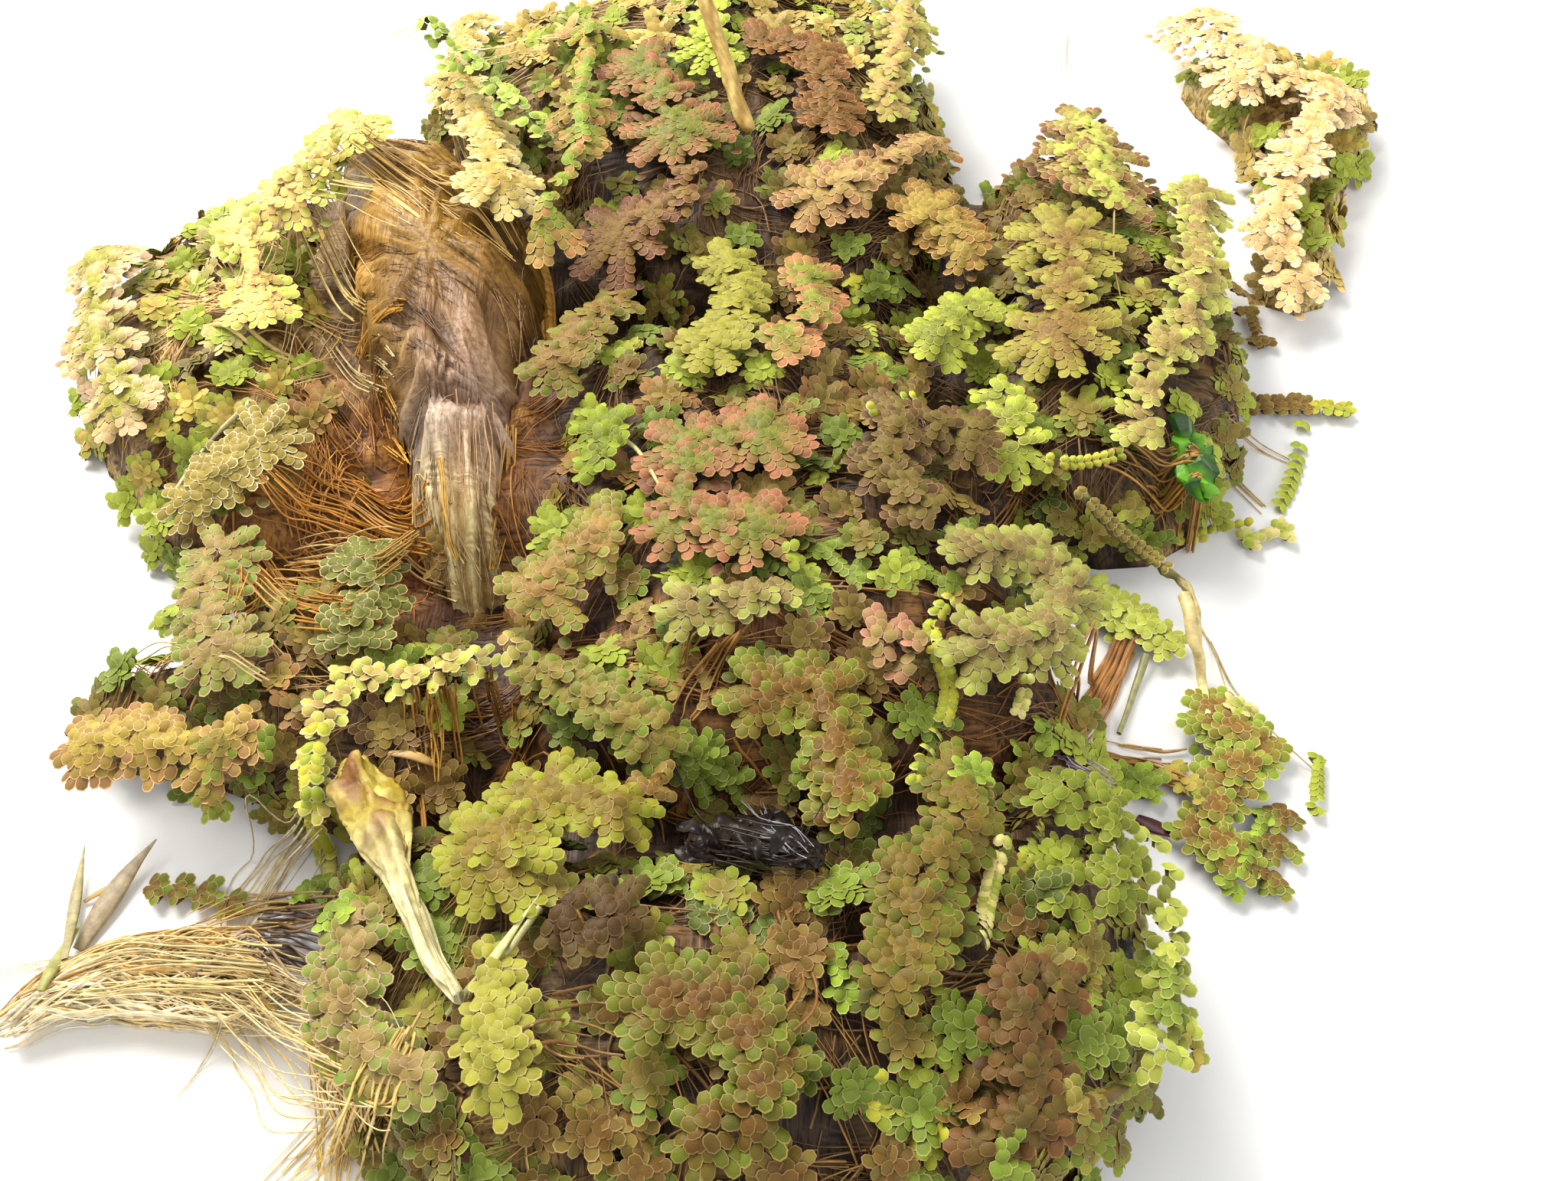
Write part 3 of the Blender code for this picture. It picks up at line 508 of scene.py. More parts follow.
class Leaves:
    """The leaf scales and lobe cores of one piece."""

    def __init__(self, rings=SCALE_RINGS):
        self.scales = []
        self.cores = []
        self.shapes = scale_template(rings), core_template()

    def add(self, centre, forward, normal, size, tint, rim):
        """A leaf scale, unless it lies past the inner box."""
        if all(INNER_LOW[i] < centre[i] < INNER_HIGH[i] for i in range(3)):
            self.scales.append((*centre, *forward, *normal, *size, *tint, *rim))

    def core(self, centre, forward, normal, size, tint):
        """The core of a lobe, tinted dark as painted shade under its scales."""
        self.cores.append((*centre, *forward, *normal, *size, *tint, *tint))

    def mesh(self, name):
        points, triangles, tints, rims, edges, first = [], [], [], [], [], 0
        for rows, (template, faces) in zip((self.scales, self.cores), self.shapes):
            if not rows:
                continue
            data = np.array(rows)
            centre, forward, normal, size, tint, rim = np.split(data, 6, axis=1)
            forward = unit(forward)
            side = unit(np.cross(forward, normal))
            local = template[None, :, :3] * size[:, None, :]
            placed = centre[:, None, :]
            for axis, way in enumerate((side, forward, np.cross(side, forward))):
                placed = placed + local[:, :, axis : axis + 1] * way[:, None, :]
            # Painted shade: each scale is darker towards its base, where the one before it overlaps it, and a
            # little lighter at its tip
            shade = 0.9 + 0.12 * template[None, :, 1:2]
            points.append(placed.reshape(-1, 3))
            tints.append((tint[:, None, :] * shade).reshape(-1, 3))
            rims.append(np.repeat(rim, len(template), axis=0))
            edges.append(np.tile(template[:, 3], len(data)))
            offsets = first + np.arange(len(data))[:, None, None] * len(template)
            triangles.append((faces[None] + offsets).reshape(-1, 3))
            first += len(data) * len(template)
        arrays = (np.concatenate(a) for a in (points, triangles, tints, rims, edges))
        return mesh_of(name, *arrays)


# Leaf scales: half width, half length and height, and how they follow each other and the ground on a lobe

SCALE_SIZE = np.array((0.41, 0.53, 0.10)) * MM
PITCH = 0.64 * MM
LEAN_UP = math.tan(math.radians(11))
CROWN = 0.32 * MM
OVERHANG = 0.5 * MM
STEP = 0.3 * MM
WIDE_LOBE = 1.85 * MM
NARROW_RANK = 0.27 * MM

# Rows of scales side by side on a lobe: where each lies across it, and how far it is set back

TWO_RANKS = ((-0.43, 0.0), (0.43, 0.5))
THREE_RANKS = ((-0.62, 0.5), (0.0, 0.0), (0.62, 0.5))


def tones_of(look, dim=1.0):
    """The tones of a look: near the stem, at the tips, and rims."""
    return [np.array(TONES[name]) * dim for name in LOOKS[look]]


def mixed(a, b, share):
    """From a, where the share is 0, to b, where it is 1: numbers, tuples or arrays."""
    return np.asarray(a) * (1 - share) + np.asarray(b) * share


def clamped(value):
    """The value, or 0 or 1 where it lies beyond them."""
    return min(1.0, max(0.0, value))


def scale_tones(tones, share, rng):
    """The tint and the rim of one leaf scale at this share of the way from the stem to the tips."""
    inner, outer, rim_tone = tones
    share = clamped(share)
    tint = mixed(inner, outer, share) * rng.uniform(0.86, 1.14)
    return tint, mixed(tint, rim_tone, rng.uniform(0.4, 0.8) * (0.6 + 0.4 * share))


def add_scale(leaves, place, yaw, rise, tilt, grow, tones, share, rng):
    """One leaf scale that points to yaw, with its tip raised and its side turned down."""
    forward = Vector((math.cos(yaw), math.sin(yaw), rise)).normalized()
    side = Vector((-math.sin(yaw), math.cos(yaw), tilt)).normalized()
    leaves.add(place, forward, forward.cross(side), SCALE_SIZE * grow, *scale_tones(tones, share, rng))


def lobe_levels(ground, base, way, length):
    """The height of the ground along a lobe, as far as it is carried and a little beyond."""
    levels, beyond, t = [], 0.0, 0.0
    while t <= length:
        level = ground(base + way * t)
        if level is None:
            beyond += STEP
            if beyond > OVERHANG or not levels:
                break
            level = levels[-1] - 0.08 * MM
        levels.append(level)
        t += STEP
    if len(levels) < 3:
        return None
    return np.convolve(np.pad(levels, 2, mode="edge"), np.ones(5) / 5, mode="valid")


def scale_steps(length, start, stagger, size, rng):
    """How far out the scales of one row lie, from the tip of a lobe to its start."""
    t = length - (0.42 + stagger * 0.62) * MM * size
    while t > start:
        yield t
        t -= PITCH * size * rng.uniform(0.94, 1.06)


def tip_share(along, rng, shift=0.0):
    """How near the tones of a scale are to those of the tip."""
    return (along - 0.25) * 1.5 + shift + rng.uniform(-0.3, 0.3)


def ranks_of(width):
    """Where the rows of scales lie across a lobe, and how far each is set back."""
    return THREE_RANKS if width > WIDE_LOBE else TWO_RANKS


def half_width(half, t, length):
    """Half the width of a lobe, narrower at its base and rounded at its tip."""
    return half * min(1.0, 0.42 + 1.1 * t / length, 0.6 + 0.5 * (length - t) / MM)


# under darkens the lobe's core, as painted shade beneath the scales
def grow_lobe(
    leaves, ground, base, angle, length, width, look, rng,
    lift, start=0.3 * MM, size=1.0, dim=1.0, under=0.45,
):
    """Rows of leaf scales along a lobe that starts at base, and a core under them."""
    way = Vector((math.cos(angle), math.sin(angle)))
    left = Vector((-way.y, way.x))
    levels = lobe_levels(ground, base, way, length)
    if levels is None:
        return
    length = min(length, len(levels) * STEP - 0.2 * MM)
    slopes = np.gradient(levels, STEP)
    reach = np.arange(len(levels)) * STEP
    tones = tones_of(look, dim)
    half = width / 2
    shift = rng.uniform(-0.15, 0.15)
    ranks = ranks_of(width)
    for place, stagger in ranks:
        for t in scale_steps(length, start, stagger, size, rng):
            along = t / length
            aside = place * half_width(half, t, length)
            if 0 < abs(aside) < NARROW_RANK and len(ranks) > 2:
                break
            aside += rng.uniform(-0.03, 0.03) * MM
            spot = base + way * t + left * aside
            level = float(np.interp(t, reach, levels)) - CROWN * (aside / half) ** 2 + lift
            yaw = angle + place * 0.7 * along + rng.uniform(-0.08, 0.08)
            rise = float(np.interp(t, reach, slopes)) + LEAN_UP + rng.uniform(-0.04, 0.04)
            tilt = -2 * CROWN * aside / half**2
            grow = size * rng.uniform(0.92, 1.06) * (0.86 + 0.14 * min(1, along * 1.5))
            share = tip_share(along, rng, shift)
            add_scale(leaves, (spot.x, spot.y, level), yaw, rise, tilt, grow, tones, share, rng)
    middle = base + way * length * 0.5
    first, centre, last = (float(np.interp(length * share, reach, levels)) for share in (0, 0.5, 1))
    forward = Vector((way.x, way.y, (last - first) / length)).normalized()
    # The core is painted shade: its tint is pulled toward the crevice shade and darkened by under
    leaves.core(
        (middle.x, middle.y, (first + centre + last) / 3 - 0.36 * MM + lift),
        forward,
        forward.cross(Vector((left.x, left.y, 0))),
        (half * 0.75, length * 0.4, 0.30 * MM),
        mixed(tones[0], TONES["crevice_shade"], 0.5) * under,
    )


ROSETTE_SIZE = 0.95
ROSETTE_HALF = 0.68 * MM * ROSETTE_SIZE


def rosette(leaves, centre, normal, reach, look, rng, dim):
    """A small frond whose short lobes spread around its centre, square to the normal."""
    first = normal.orthogonal().normalized()
    second = normal.cross(first)
    turn = rng.uniform(0, 2 * math.pi)
    count = rng.choice((5, 6, 6, 7))
    tones = tones_of(look, dim)
    droop = rng.uniform(-0.1, 0.5) * MM
    for i in range(count):
        angle = turn + 2 * math.pi * i / count + rng.uniform(-0.16, 0.16)
        way = first * math.cos(angle) + second * math.sin(angle) + normal * rng.uniform(-0.22, 0.22)
        way.normalize()
        left = normal.cross(way).normalized()
        up = way.cross(left)
        length = reach * rng.uniform(0.75, 1.12)
        shift = rng.uniform(-0.25, 0.25)
        for place, stagger in TWO_RANKS:
            for t in scale_steps(length, 0.2 * MM, stagger, ROSETTE_SIZE, rng):
                along = t / length
                aside = place * half_width(ROSETTE_HALF, t, length) * 1.15
                spot = centre + way * t + left * aside
                spot += up * ((i % 2) * 0.12 * MM - droop * along**2 - CROWN * (aside / ROSETTE_HALF) ** 2)
                forward = way + left * place * 0.9 * along + up * (LEAN_UP - 2 * droop * along / length)
                forward.normalize()
                side = left - up * 2 * CROWN * aside / ROSETTE_HALF**2
                grow = ROSETTE_SIZE * rng.uniform(0.9, 1.06)
                tint, rim = scale_tones(tones, tip_share(along, rng, shift), rng)
                leaves.add(spot, forward, forward.cross(side), SCALE_SIZE * grow, tint, rim)
        # Painted shade: the core is pulled toward the crevice shade and darkened
        tint = mixed(tones[0], TONES["crevice_shade"], 0.6) * 0.6
        core = (ROSETTE_HALF * 0.85, length * 0.46, 0.26 * MM)
        leaves.core(centre + way * length * 0.48 - up * 0.3 * MM, way, up, core, tint)


# Scales between the lobes: how far apart they are tried and kept, how deep they lie, and how much painted
# shade darkens them

FILL_CELL = 0.62 * MM
FILL_GAP = 0.56 * MM
FILL_DEPTH = 0.42 * MM
FILL_SHADE = (0.6, 0.55, 0.6)


def fill_sheet(leaves, name, spine, reaches, look, rng, dim):
    """Scales wherever the solid's top is still bare, pointing away from the stem."""

    def cell_of(place):
        return int(place.x // FILL_CELL), int(place.y // FILL_CELL)

    tree = plant_trees[name]
    near = {}
    for row in leaves.scales:
        place = Vector(row[:2])
        near.setdefault(cell_of(place), []).append(place)
    # Painted shade: these lower scales are darker, as if shaded by the lobes above them
    tones = [tone * light * dim for tone, light in zip(tones_of(look), FILL_SHADE)]
    low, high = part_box(name)
    columns = int((high.x - low.x) / FILL_CELL) + 1
    rows = int((high.y - low.y) / FILL_CELL) + 1
    for i in range(columns):
        for j in range(rows):
            x = low.x + (i + 0.5 * (j % 2)) * FILL_CELL + rng.uniform(-0.1, 0.1) * MM
            place = Vector((x, low.y + j * FILL_CELL + rng.uniform(-0.1, 0.1) * MM))
            a, b = cell_of(place)
            around = [q for m in (a - 1, a, a + 1) for n in (b - 1, b, b + 1) for q in near.get((m, n), [])]
            if any((place - q).length < FILL_GAP for q in around):
                continue
            level = top_of(tree, place)
            if level is None:
                continue
            own = min(range(len(spine)), key=lambda k: (place - spine[k]).length)
            away = place - spine[own]
            yaw = math.atan2(away.y, away.x) + rng.uniform(-0.2, 0.2)
            ahead = top_of(tree, place + away.normalized() * 0.5 * MM)
            rise = LEAN_UP + ((ahead - level) / (0.5 * MM) if ahead is not None else -0.2)
            share = tip_share(away.length / reaches[own], rng)
            grow = rng.uniform(0.88, 1.05)
            near.setdefault((a, b), []).append(place)
            add_scale(leaves, (place.x, place.y, level - FILL_DEPTH), yaw, rise, 0.0, grow, tones, share, rng)


# The lobes of each plant, by the draws that shaped the solids

CLEAR_OF_STEM = math.radians(34)
LOBE_TURN = 0.06
TIP_SHARE = (0.9, 1.08)
NOTCH_SHARE = (0.46, 0.56)
TILT_SPREAD = 0.14


def heading(a, b):
    """The angle at which b is seen from a, from above."""
    return math.atan2(b.y - a.y, b.x - a.x)


def sector(spine, own, side):
    """The angles between which a stem point has room for lobes."""
    last = len(spine) - 1
    if own == last:
        back = heading(spine[last], spine[last - 1])
        return back, back + 2 * math.pi
    on = heading(spine[own], spine[own + 1])
    if own == 0:
        return on, on + 2 * math.pi
    back = heading(spine[own], spine[own - 1])
    start, end = (back, on) if side == "right" else (on, back)
    return start, start + (end - start) % (2 * math.pi)


def lobe_axes(name, spine, reaches, spacing):
    """Each lobe's stem point, angle, length and step to the next. Draws for tilts and notches are unused."""
    rng = random.Random(name)
    for _ in range(2):
        rng.uniform(-TILT_SPREAD, TILT_SPREAD)
    last = len(spine) - 1
    order = [(k, "right") for k in range(1, last)] + [(last, "end")]
    order += [(k, "left") for k in range(last - 1, 0, -1)] + [(0, "start")]
    axes = []
    for own, side in order:
        start, end = sector(spine, own, side)
        room = end - start - 2 * CLEAR_OF_STEM
        count = max(1, round(room / math.radians(spacing)))
        step = room / count
        for i in range(count):
            middle = start + CLEAR_OF_STEM + (i + 0.5) * step + rng.uniform(-LOBE_TURN, LOBE_TURN)
            length = reaches[own] * rng.uniform(*TIP_SHARE)
            if i:
                rng.uniform(*NOTCH_SHARE)
            axes.append((own, middle, length, step))
    return axes


def stem_point(name, column, row):
    """The stem point of a solid that lies on this line of sight, seen from above."""
    way = sight(column, row)
    across = way.x / -way.z
    ahead = way.y / -way.z
    best, found = 0.06 * MM, None
    for v in NODES[name].data.vertices:
        height = EYE.z - (v.co.y - EYE.y) / ahead
        error = abs(v.co.x - EYE.x - across * (EYE.z - height))
        if error < best and -MM < height <= v.co.z + MM:
            best, found = error, v.co.copy()
    return found or seen_on(plant_trees[name], column, row)


# How far apart the small lobes between stem points are, and how far lobes that lie side by side are raised

BETWEEN_LOBES = 2.4 * MM
LIFTS = (0.0, 0.18 * MM, 0.09 * MM)


def dress_plant(name, leaves):
    """The scales of one plant: small lobes between its stem points, then its own lobes, then what is bare."""
    look, spacing, lean, light, seen = PLANTS[name]
    # Part of this dimming is painted light: brighter at the back and left
    dim = light * np.array(LEANS[lean])
    rng = random.Random(name + " leaves")
    reaches = [reach * MM for _, _, reach in seen]
    spine = [stem_point(name, column, row).to_2d() for column, row, _ in seen]

    def ground(place):
        return top_of(plant_trees[name], place)

    for a, b, reach_a, reach_b in zip(spine, spine[1:], reaches, reaches[1:]):
        between = int((b - a).length / BETWEEN_LOBES)
        for k in range(between):
            base = a.lerp(b, (k + 0.5) / between)
            turn, lobes = rng.uniform(0, 6.28), rng.choice((5, 6, 6))
            lift = rng.uniform(0.05, 0.4) * MM
            for i in range(lobes):
                angle = turn + 2 * math.pi * i / lobes + rng.uniform(-0.15, 0.15)
                length = rng.uniform(0.62, 0.9) * min(reach_a, reach_b, 3.4 * MM)
                rise = lift + (i % 2) * 0.1 * MM
                grow_lobe(leaves, ground, base, angle, length, 1.35 * MM, look, rng, rise, 0.1 * MM, dim=dim)
    for index, (own, angle, length, step) in enumerate(lobe_axes(name, spine, reaches, spacing)):
        width = min(2.3 * MM, max(1.25 * MM, 1.75 * length * math.tan(min(0.36 * step, 0.4))))
        lift = LIFTS[index % 3]
        grow_lobe(leaves, ground, spine[own], angle, length + 0.2 * MM, width, look, rng, lift, dim=dim)
    fill_sheet(leaves, name, spine, reaches, look, rng, dim)


# Materials


class Nodes:
    """A short way to build a material's nodes."""

    def __init__(self, name):
        self.material = bpy.data.materials.new(name)
        self.material.use_nodes = True
        self.tree = self.material.node_tree
        self.shader = self.tree.nodes["Principled BSDF"]

    def node(self, kind, links=(), **values):
        made = self.tree.nodes.new(kind)
        for key, value in values.items():
            if key in made.inputs:
                made.inputs[key].default_value = value
            else:
                setattr(made, key, value)
        for socket, source in links:
            self.tree.links.new(source, made.inputs[socket])
        return made

    def attribute(self, name, socket="Color"):
        return self.node("ShaderNodeAttribute", attribute_name=name).outputs[socket]

    def place(self):
        return self.node("ShaderNodeTexCoord").outputs["Object"]

    def noise(self, scale, detail):
        links = [("Vector", self.place())]
        return self.node("ShaderNodeTexNoise", links, Scale=scale, Detail=detail).outputs["Fac"]

    def ramp(self, source, stops):
        made = self.node("ShaderNodeValToRGB", [("Fac", source)])
        ramp = made.color_ramp
        while len(ramp.elements) < len(stops):
            ramp.elements.new(0.5)
        for element, (place, colour) in zip(ramp.elements, stops):
            element.position = place
            element.color = (*colour, 1)
        return made.outputs["Color"]

    def mix(self, a, b, factor, kind="MIX"):
        made = self.node("ShaderNodeMix", data_type="RGBA", blend_type=kind)
        for socket, value in ((0, factor), (6, a), (7, b)):
            if hasattr(value, "links"):
                self.tree.links.new(value, made.inputs[socket])
            elif socket:
                made.inputs[socket].default_value = (*value, 1)
            else:
                made.inputs[socket].default_value = value
        return made.outputs[2]

    def scaled(self, source, least, most, start=0.0, end=1.0):
        made = self.node("ShaderNodeMapRange", [("Value", source)])
        for key, value in (("From Min", start), ("From Max", end), ("To Min", least), ("To Max", most)):
            made.inputs[key].default_value = value
        return made.outputs[0]

    def finish(self, colour, roughness, bump=None, depth=0.0, strength=0.0, **values):
        link = self.tree.links.new
        link(colour, self.shader.inputs["Base Color"])
        if hasattr(roughness, "links"):
            link(roughness, self.shader.inputs["Roughness"])
        else:
            self.shader.inputs["Roughness"].default_value = roughness
        if bump is not None:
            made = self.node("ShaderNodeBump", [("Height", bump)], Strength=strength, Distance=depth)
            link(made.outputs[0], self.shader.inputs["Normal"])
        for key, value in values.items():
            self.shader.inputs[key.replace("_", " ")].default_value = value
        return self.material


def leaf_material():
    """Leaf scales: the tint of each, mottled, with a thin pale raised rim."""
    n = Nodes("leaf_scales")
    tint = n.attribute("tint")
    rim = n.attribute("rim")
    edge = n.attribute("edge", "Fac")
    cloud = n.noise(900, 4)
    mottled = n.mix(tint, n.ramp(cloud, ((0.3, (0.68, 0.6, 0.5)), (0.7, (1.22, 1.3, 1.2)))), 0.5, "MULTIPLY")
    border = n.scaled(edge, 0.0, 1.0, 0.84, 0.92)
    colour = n.mix(mottled, rim, border)
    rough = n.scaled(cloud, 0.38, 0.7)
    relief = n.node("ShaderNodeMath", [(0, border), (1, n.noise(9000, 2))], operation="ADD").outputs[0]
    return n.finish(colour, rough, relief, 0.04 * MM, 0.6, Specular_IOR_Level=0.25)


def tint_material(name, roughness, specular):
    """Roots and stems whose tint is given along them, with fine streaks."""
    n = Nodes(name)
    tint = n.attribute("tint")
    cloud = n.noise(1500, 4)
    colour = n.mix(tint, n.ramp(cloud, ((0.3, (0.5, 0.45, 0.4)), (0.7, (1.4, 1.35, 1.3)))), 0.6, "MULTIPLY")
    return n.finish(colour, roughness, n.noise(6000, 2), 0.04 * MM, 0.5, Specular_IOR_Level=specular)


def matted_material(name, contrast, roughness):
    """Matted fibres: the tint of each place, crossed by wavy streaks that turn from patch to patch. The
    streaks are darker in their grooves and lighter on their crests, where the bump rises: painted shade and
    highlight.
    """
    n = Nodes(name)
    tint = n.attribute("tint")
    streaks = []
    for scale, stretch in ((4800, (1, 0.07, 0.3)), (4200, (0.07, 1, 0.3)), (3600, (0.7, 0.6, 0.12))):
        turned = n.node("ShaderNodeMapping", [("Vector", n.place())], Scale=stretch, Rotation=(0, 0, 0.5))
        links = [("Vector", turned.outputs[0])]
        made = n.node("ShaderNodeTexNoise", links, Scale=scale, Detail=3.0, Distortion=0.7)
        streaks.append(made.outputs["Fac"])
    patch = n.scaled(n.noise(330, 2), 0.0, 1.0, 0.44, 0.56)
    other = n.scaled(n.noise(210, 2), 0.0, 0.7, 0.46, 0.6)
    crossed = n.mix(n.mix(streaks[0], streaks[1], patch), streaks[2], other)
    dark, light = (mixed(1.0, value, contrast) for value in (0.22, 1.6))
    stops = (
        (0.38, (dark, dark * 0.9, dark * 0.8)),
        (0.5, (1, 0.96, 0.92)),
        (0.64, (light, light, light * 1.1)),
    )
    # Painted shade and highlight: the colour follows the streaks' relief, dark in the grooves and light on
    # the crests
    colour = n.mix(tint, n.ramp(crossed, stops), 1.0, "MULTIPLY")
    rough = n.scaled(crossed, *roughness, 0.35, 0.65)
    return n.finish(colour, rough, crossed, 0.15 * MM, 0.8, Specular_IOR_Level=0.35)


# Tones by place: column, row and reach in mm of each spot, and the dark and the light tone there. They are
# partly the roots' own colour and partly painted light: the darkest spots are painted shade in hollows, as
# around the litter, and the pale grey spots on the felt are painted glints on its wet surface

ROOT_SPOTS = (
    (560, 120, 10, (0.10, 0.05, 0.015), (0.62, 0.45, 0.14)),
    (850, 250, 12, (0.035, 0.016, 0.008), (0.28, 0.15, 0.05)),
    (1130, 120, 9, (0.08, 0.04, 0.012), (0.42, 0.27, 0.08)),
    (1620, 180, 12, (0.54, 0.34, 0.08), (1.0, 0.84, 0.34)),
    (300, 380, 10, (0.18, 0.085, 0.022), (0.86, 0.60, 0.20)),
    (420, 620, 6, (0.07, 0.022, 0.005), (0.52, 0.22, 0.035)),
    (450, 700, 8, (0.28, 0.09, 0.011), (0.96, 0.46, 0.08)),
    (250, 760, 7, (0.12, 0.06, 0.015), (0.55, 0.36, 0.10)),
    (300, 960, 8, (0.10, 0.05, 0.015), (0.55, 0.37, 0.12)),
    (640, 850, 8, (0.05, 0.02, 0.006), (0.34, 0.16, 0.035)),
    (930, 860, 7, (0.06, 0.022, 0.006), (0.42, 0.19, 0.04)),
    (950, 1075, 4.5, (0.008, 0.005, 0.003), (0.05, 0.028, 0.012)),
    (1000, 1190, 4.0, (0.03, 0.012, 0.004), (0.24, 0.11, 0.025)),
    (1000, 560, 9, (0.025, 0.013, 0.006), (0.24, 0.12, 0.03)),
    (1400, 500, 9, (0.03, 0.015, 0.006), (0.28, 0.15, 0.04)),
    (1540, 620, 5, (0.04, 0.02, 0.008), (0.40, 0.25, 0.08)),
    (1400, 930, 7, (0.035, 0.014, 0.005), (0.34, 0.15, 0.03)),
    (960, 1240, 9, (0.035, 0.015, 0.005), (0.30, 0.15, 0.035)),
    (520, 1500, 7, (0.12, 0.06, 0.015), (0.62, 0.44, 0.13)),
    (1350, 1400, 9, (0.05, 0.025, 0.008), (0.34, 0.2, 0.05)),
)
FELT_SPOTS = (
    (490, 230, 5.0, (0.15, 0.07, 0.006), (0.37, 0.21, 0.026)),
    (600, 290, 4.5, (0.11, 0.05, 0.006), (0.31, 0.17, 0.020)),
    (615, 375, 4.0, (0.08, 0.035, 0.007), (0.25, 0.13, 0.032)),
    (600, 440, 3.5, (0.08, 0.033, 0.010), (0.30, 0.16, 0.07)),
    (648, 520, 4.5, (0.10, 0.042, 0.018), (0.74, 0.54, 0.43)),
    (548, 565, 2.6, (0.035, 0.026, 0.02), (0.38, 0.33, 0.28)),
    (530, 470, 3.5, (0.10, 0.048, 0.008), (0.34, 0.20, 0.04)),
    (650, 585, 3.2, (0.14, 0.07, 0.03), (0.80, 0.62, 0.46)),
    (600, 675, 4.6, (0.36, 0.20, 0.045), (1.0, 0.86, 0.45)),
    (605, 552, 2.4, (0.16, 0.08, 0.03), (0.72, 0.52, 0.36)),
    (470, 480, 3.0, (0.36, 0.15, 0.02), (0.72, 0.42, 0.11)),
    (430, 420, 3.0, (0.30, 0.18, 0.05), (0.80, 0.64, 0.36)),
    (705, 540, 2.5, (0.40, 0.20, 0.03), (0.78, 0.50, 0.16)),
)


def with_places(tree, spots):
    """Spots with their place on the clump instead of a column and row, and their reach in metres."""
    return [
        (seen_on(tree, column, row).to_2d(), reach * MM, np.array(dark), np.array(light))
        for column, row, reach, dark, light in spots
    ]


def tones_at(spots, place):
    """The dark and the light tone at a place, blended from the spots around it."""
    far = ((place - centre).length_squared / reach**2 for centre, reach, _, _ in spots)
    weights = [math.exp(-value) + 1e-5 for value in far]
    whole = sum(weights)
    dark = sum(w * spot[2] for w, spot in zip(weights, spots)) / whole
    return dark, sum(w * spot[3] for w, spot in zip(weights, spots)) / whole


root_spots = with_places(all_tree, ROOT_SPOTS)
felt_spots = with_places(felt_tree, FELT_SPOTS)


# Finer copies of the solids


def wrought(title, node, cuts, finish, material, slot, rounds=4, smooth=True):
    """A finer copy of a solid: finish gives how far each point moves along its normal, and its tint."""
    bm = bmesh.new()
    bm.from_mesh(NODES[node].data)
    bmesh.ops.remove_doubles(bm, verts=bm.verts, dist=1e-6)
    bmesh.ops.subdivide_edges(bm, edges=bm.edges, cuts=cuts, use_grid_fill=True)
    bmesh.ops.triangulate(bm, faces=bm.faces)
    for _ in range(rounds):
        soft = [v for v in bm.verts if v.co.z > 0.2 * MM]
        bmesh.ops.smooth_vert(bm, verts=soft, factor=0.5, use_axis_x=True, use_axis_y=True, use_axis_z=True)
    bm.normal_update()
    points, tints = [], []
    for v in bm.verts:
        move, tint = finish(v.co)
        points.append(v.co + v.normal * move if v.co.z > 0.05 * MM else v.co.copy())
        tints.append(tint)
    bm.verts.index_update()
    triangles = [[v.index for v in face.verts] for face in bm.faces]
    bm.free()
    mesh = mesh_of(title, points, triangles, tints)
    mesh.polygons.foreach_set("use_smooth", np.full(len(triangles), smooth))
    put(title, mesh, material, slot, [node])


def rough_at(place):
    """Uneven ground: above and below 0, with finer bumps on coarse ones."""
    return noise.fractal(place, 0.8, 2.0, 3)


def ridge_at(x, y, z):
    """Ridges: 0.5 along their crests, and below 0 between them."""
    return 0.5 - 1.8 * abs(noise.noise(Vector((x, y, z))))


def mat_finish(place):
    """Matted roots: pits and strands. Painted shade darkens the pits, and the whole tint a little."""
    coarse = rough_at(place * 260)
    strand = 1 - 2 * abs(noise.noise(Vector((place.x * 500, place.y * 1300, place.z * 700))))
    fine = noise.noise(place * 2600)
    dark, light = tones_at(root_spots, place.to_2d())
    # Painted shade: the share falls where the surface sinks, and the tint is darkened overall
    share = clamped(0.25 + 0.55 * coarse + 0.3 * strand + 0.25 * fine)
    return (0.55 * coarse + 0.22 * strand - 0.5) * MM, mixed(dark, light, share**1.5) * 0.68


# The place on the felt from which its wrinkles spread, and the ways its strands are drawn

FELT_CENTRE = (650, 525)
felt_centre = seen_on(felt_tree, *FELT_CENTRE).to_2d()
DRAWN_ACROSS, DRAWN_DOWN = Vector((0.77, -0.64)), Vector((0.15, -0.99))


def drawn_across(away):
    """How far the strands at this place from the centre of the felt run across it, not down."""
    return clamped(away.y / (8 * MM) + 0.4)


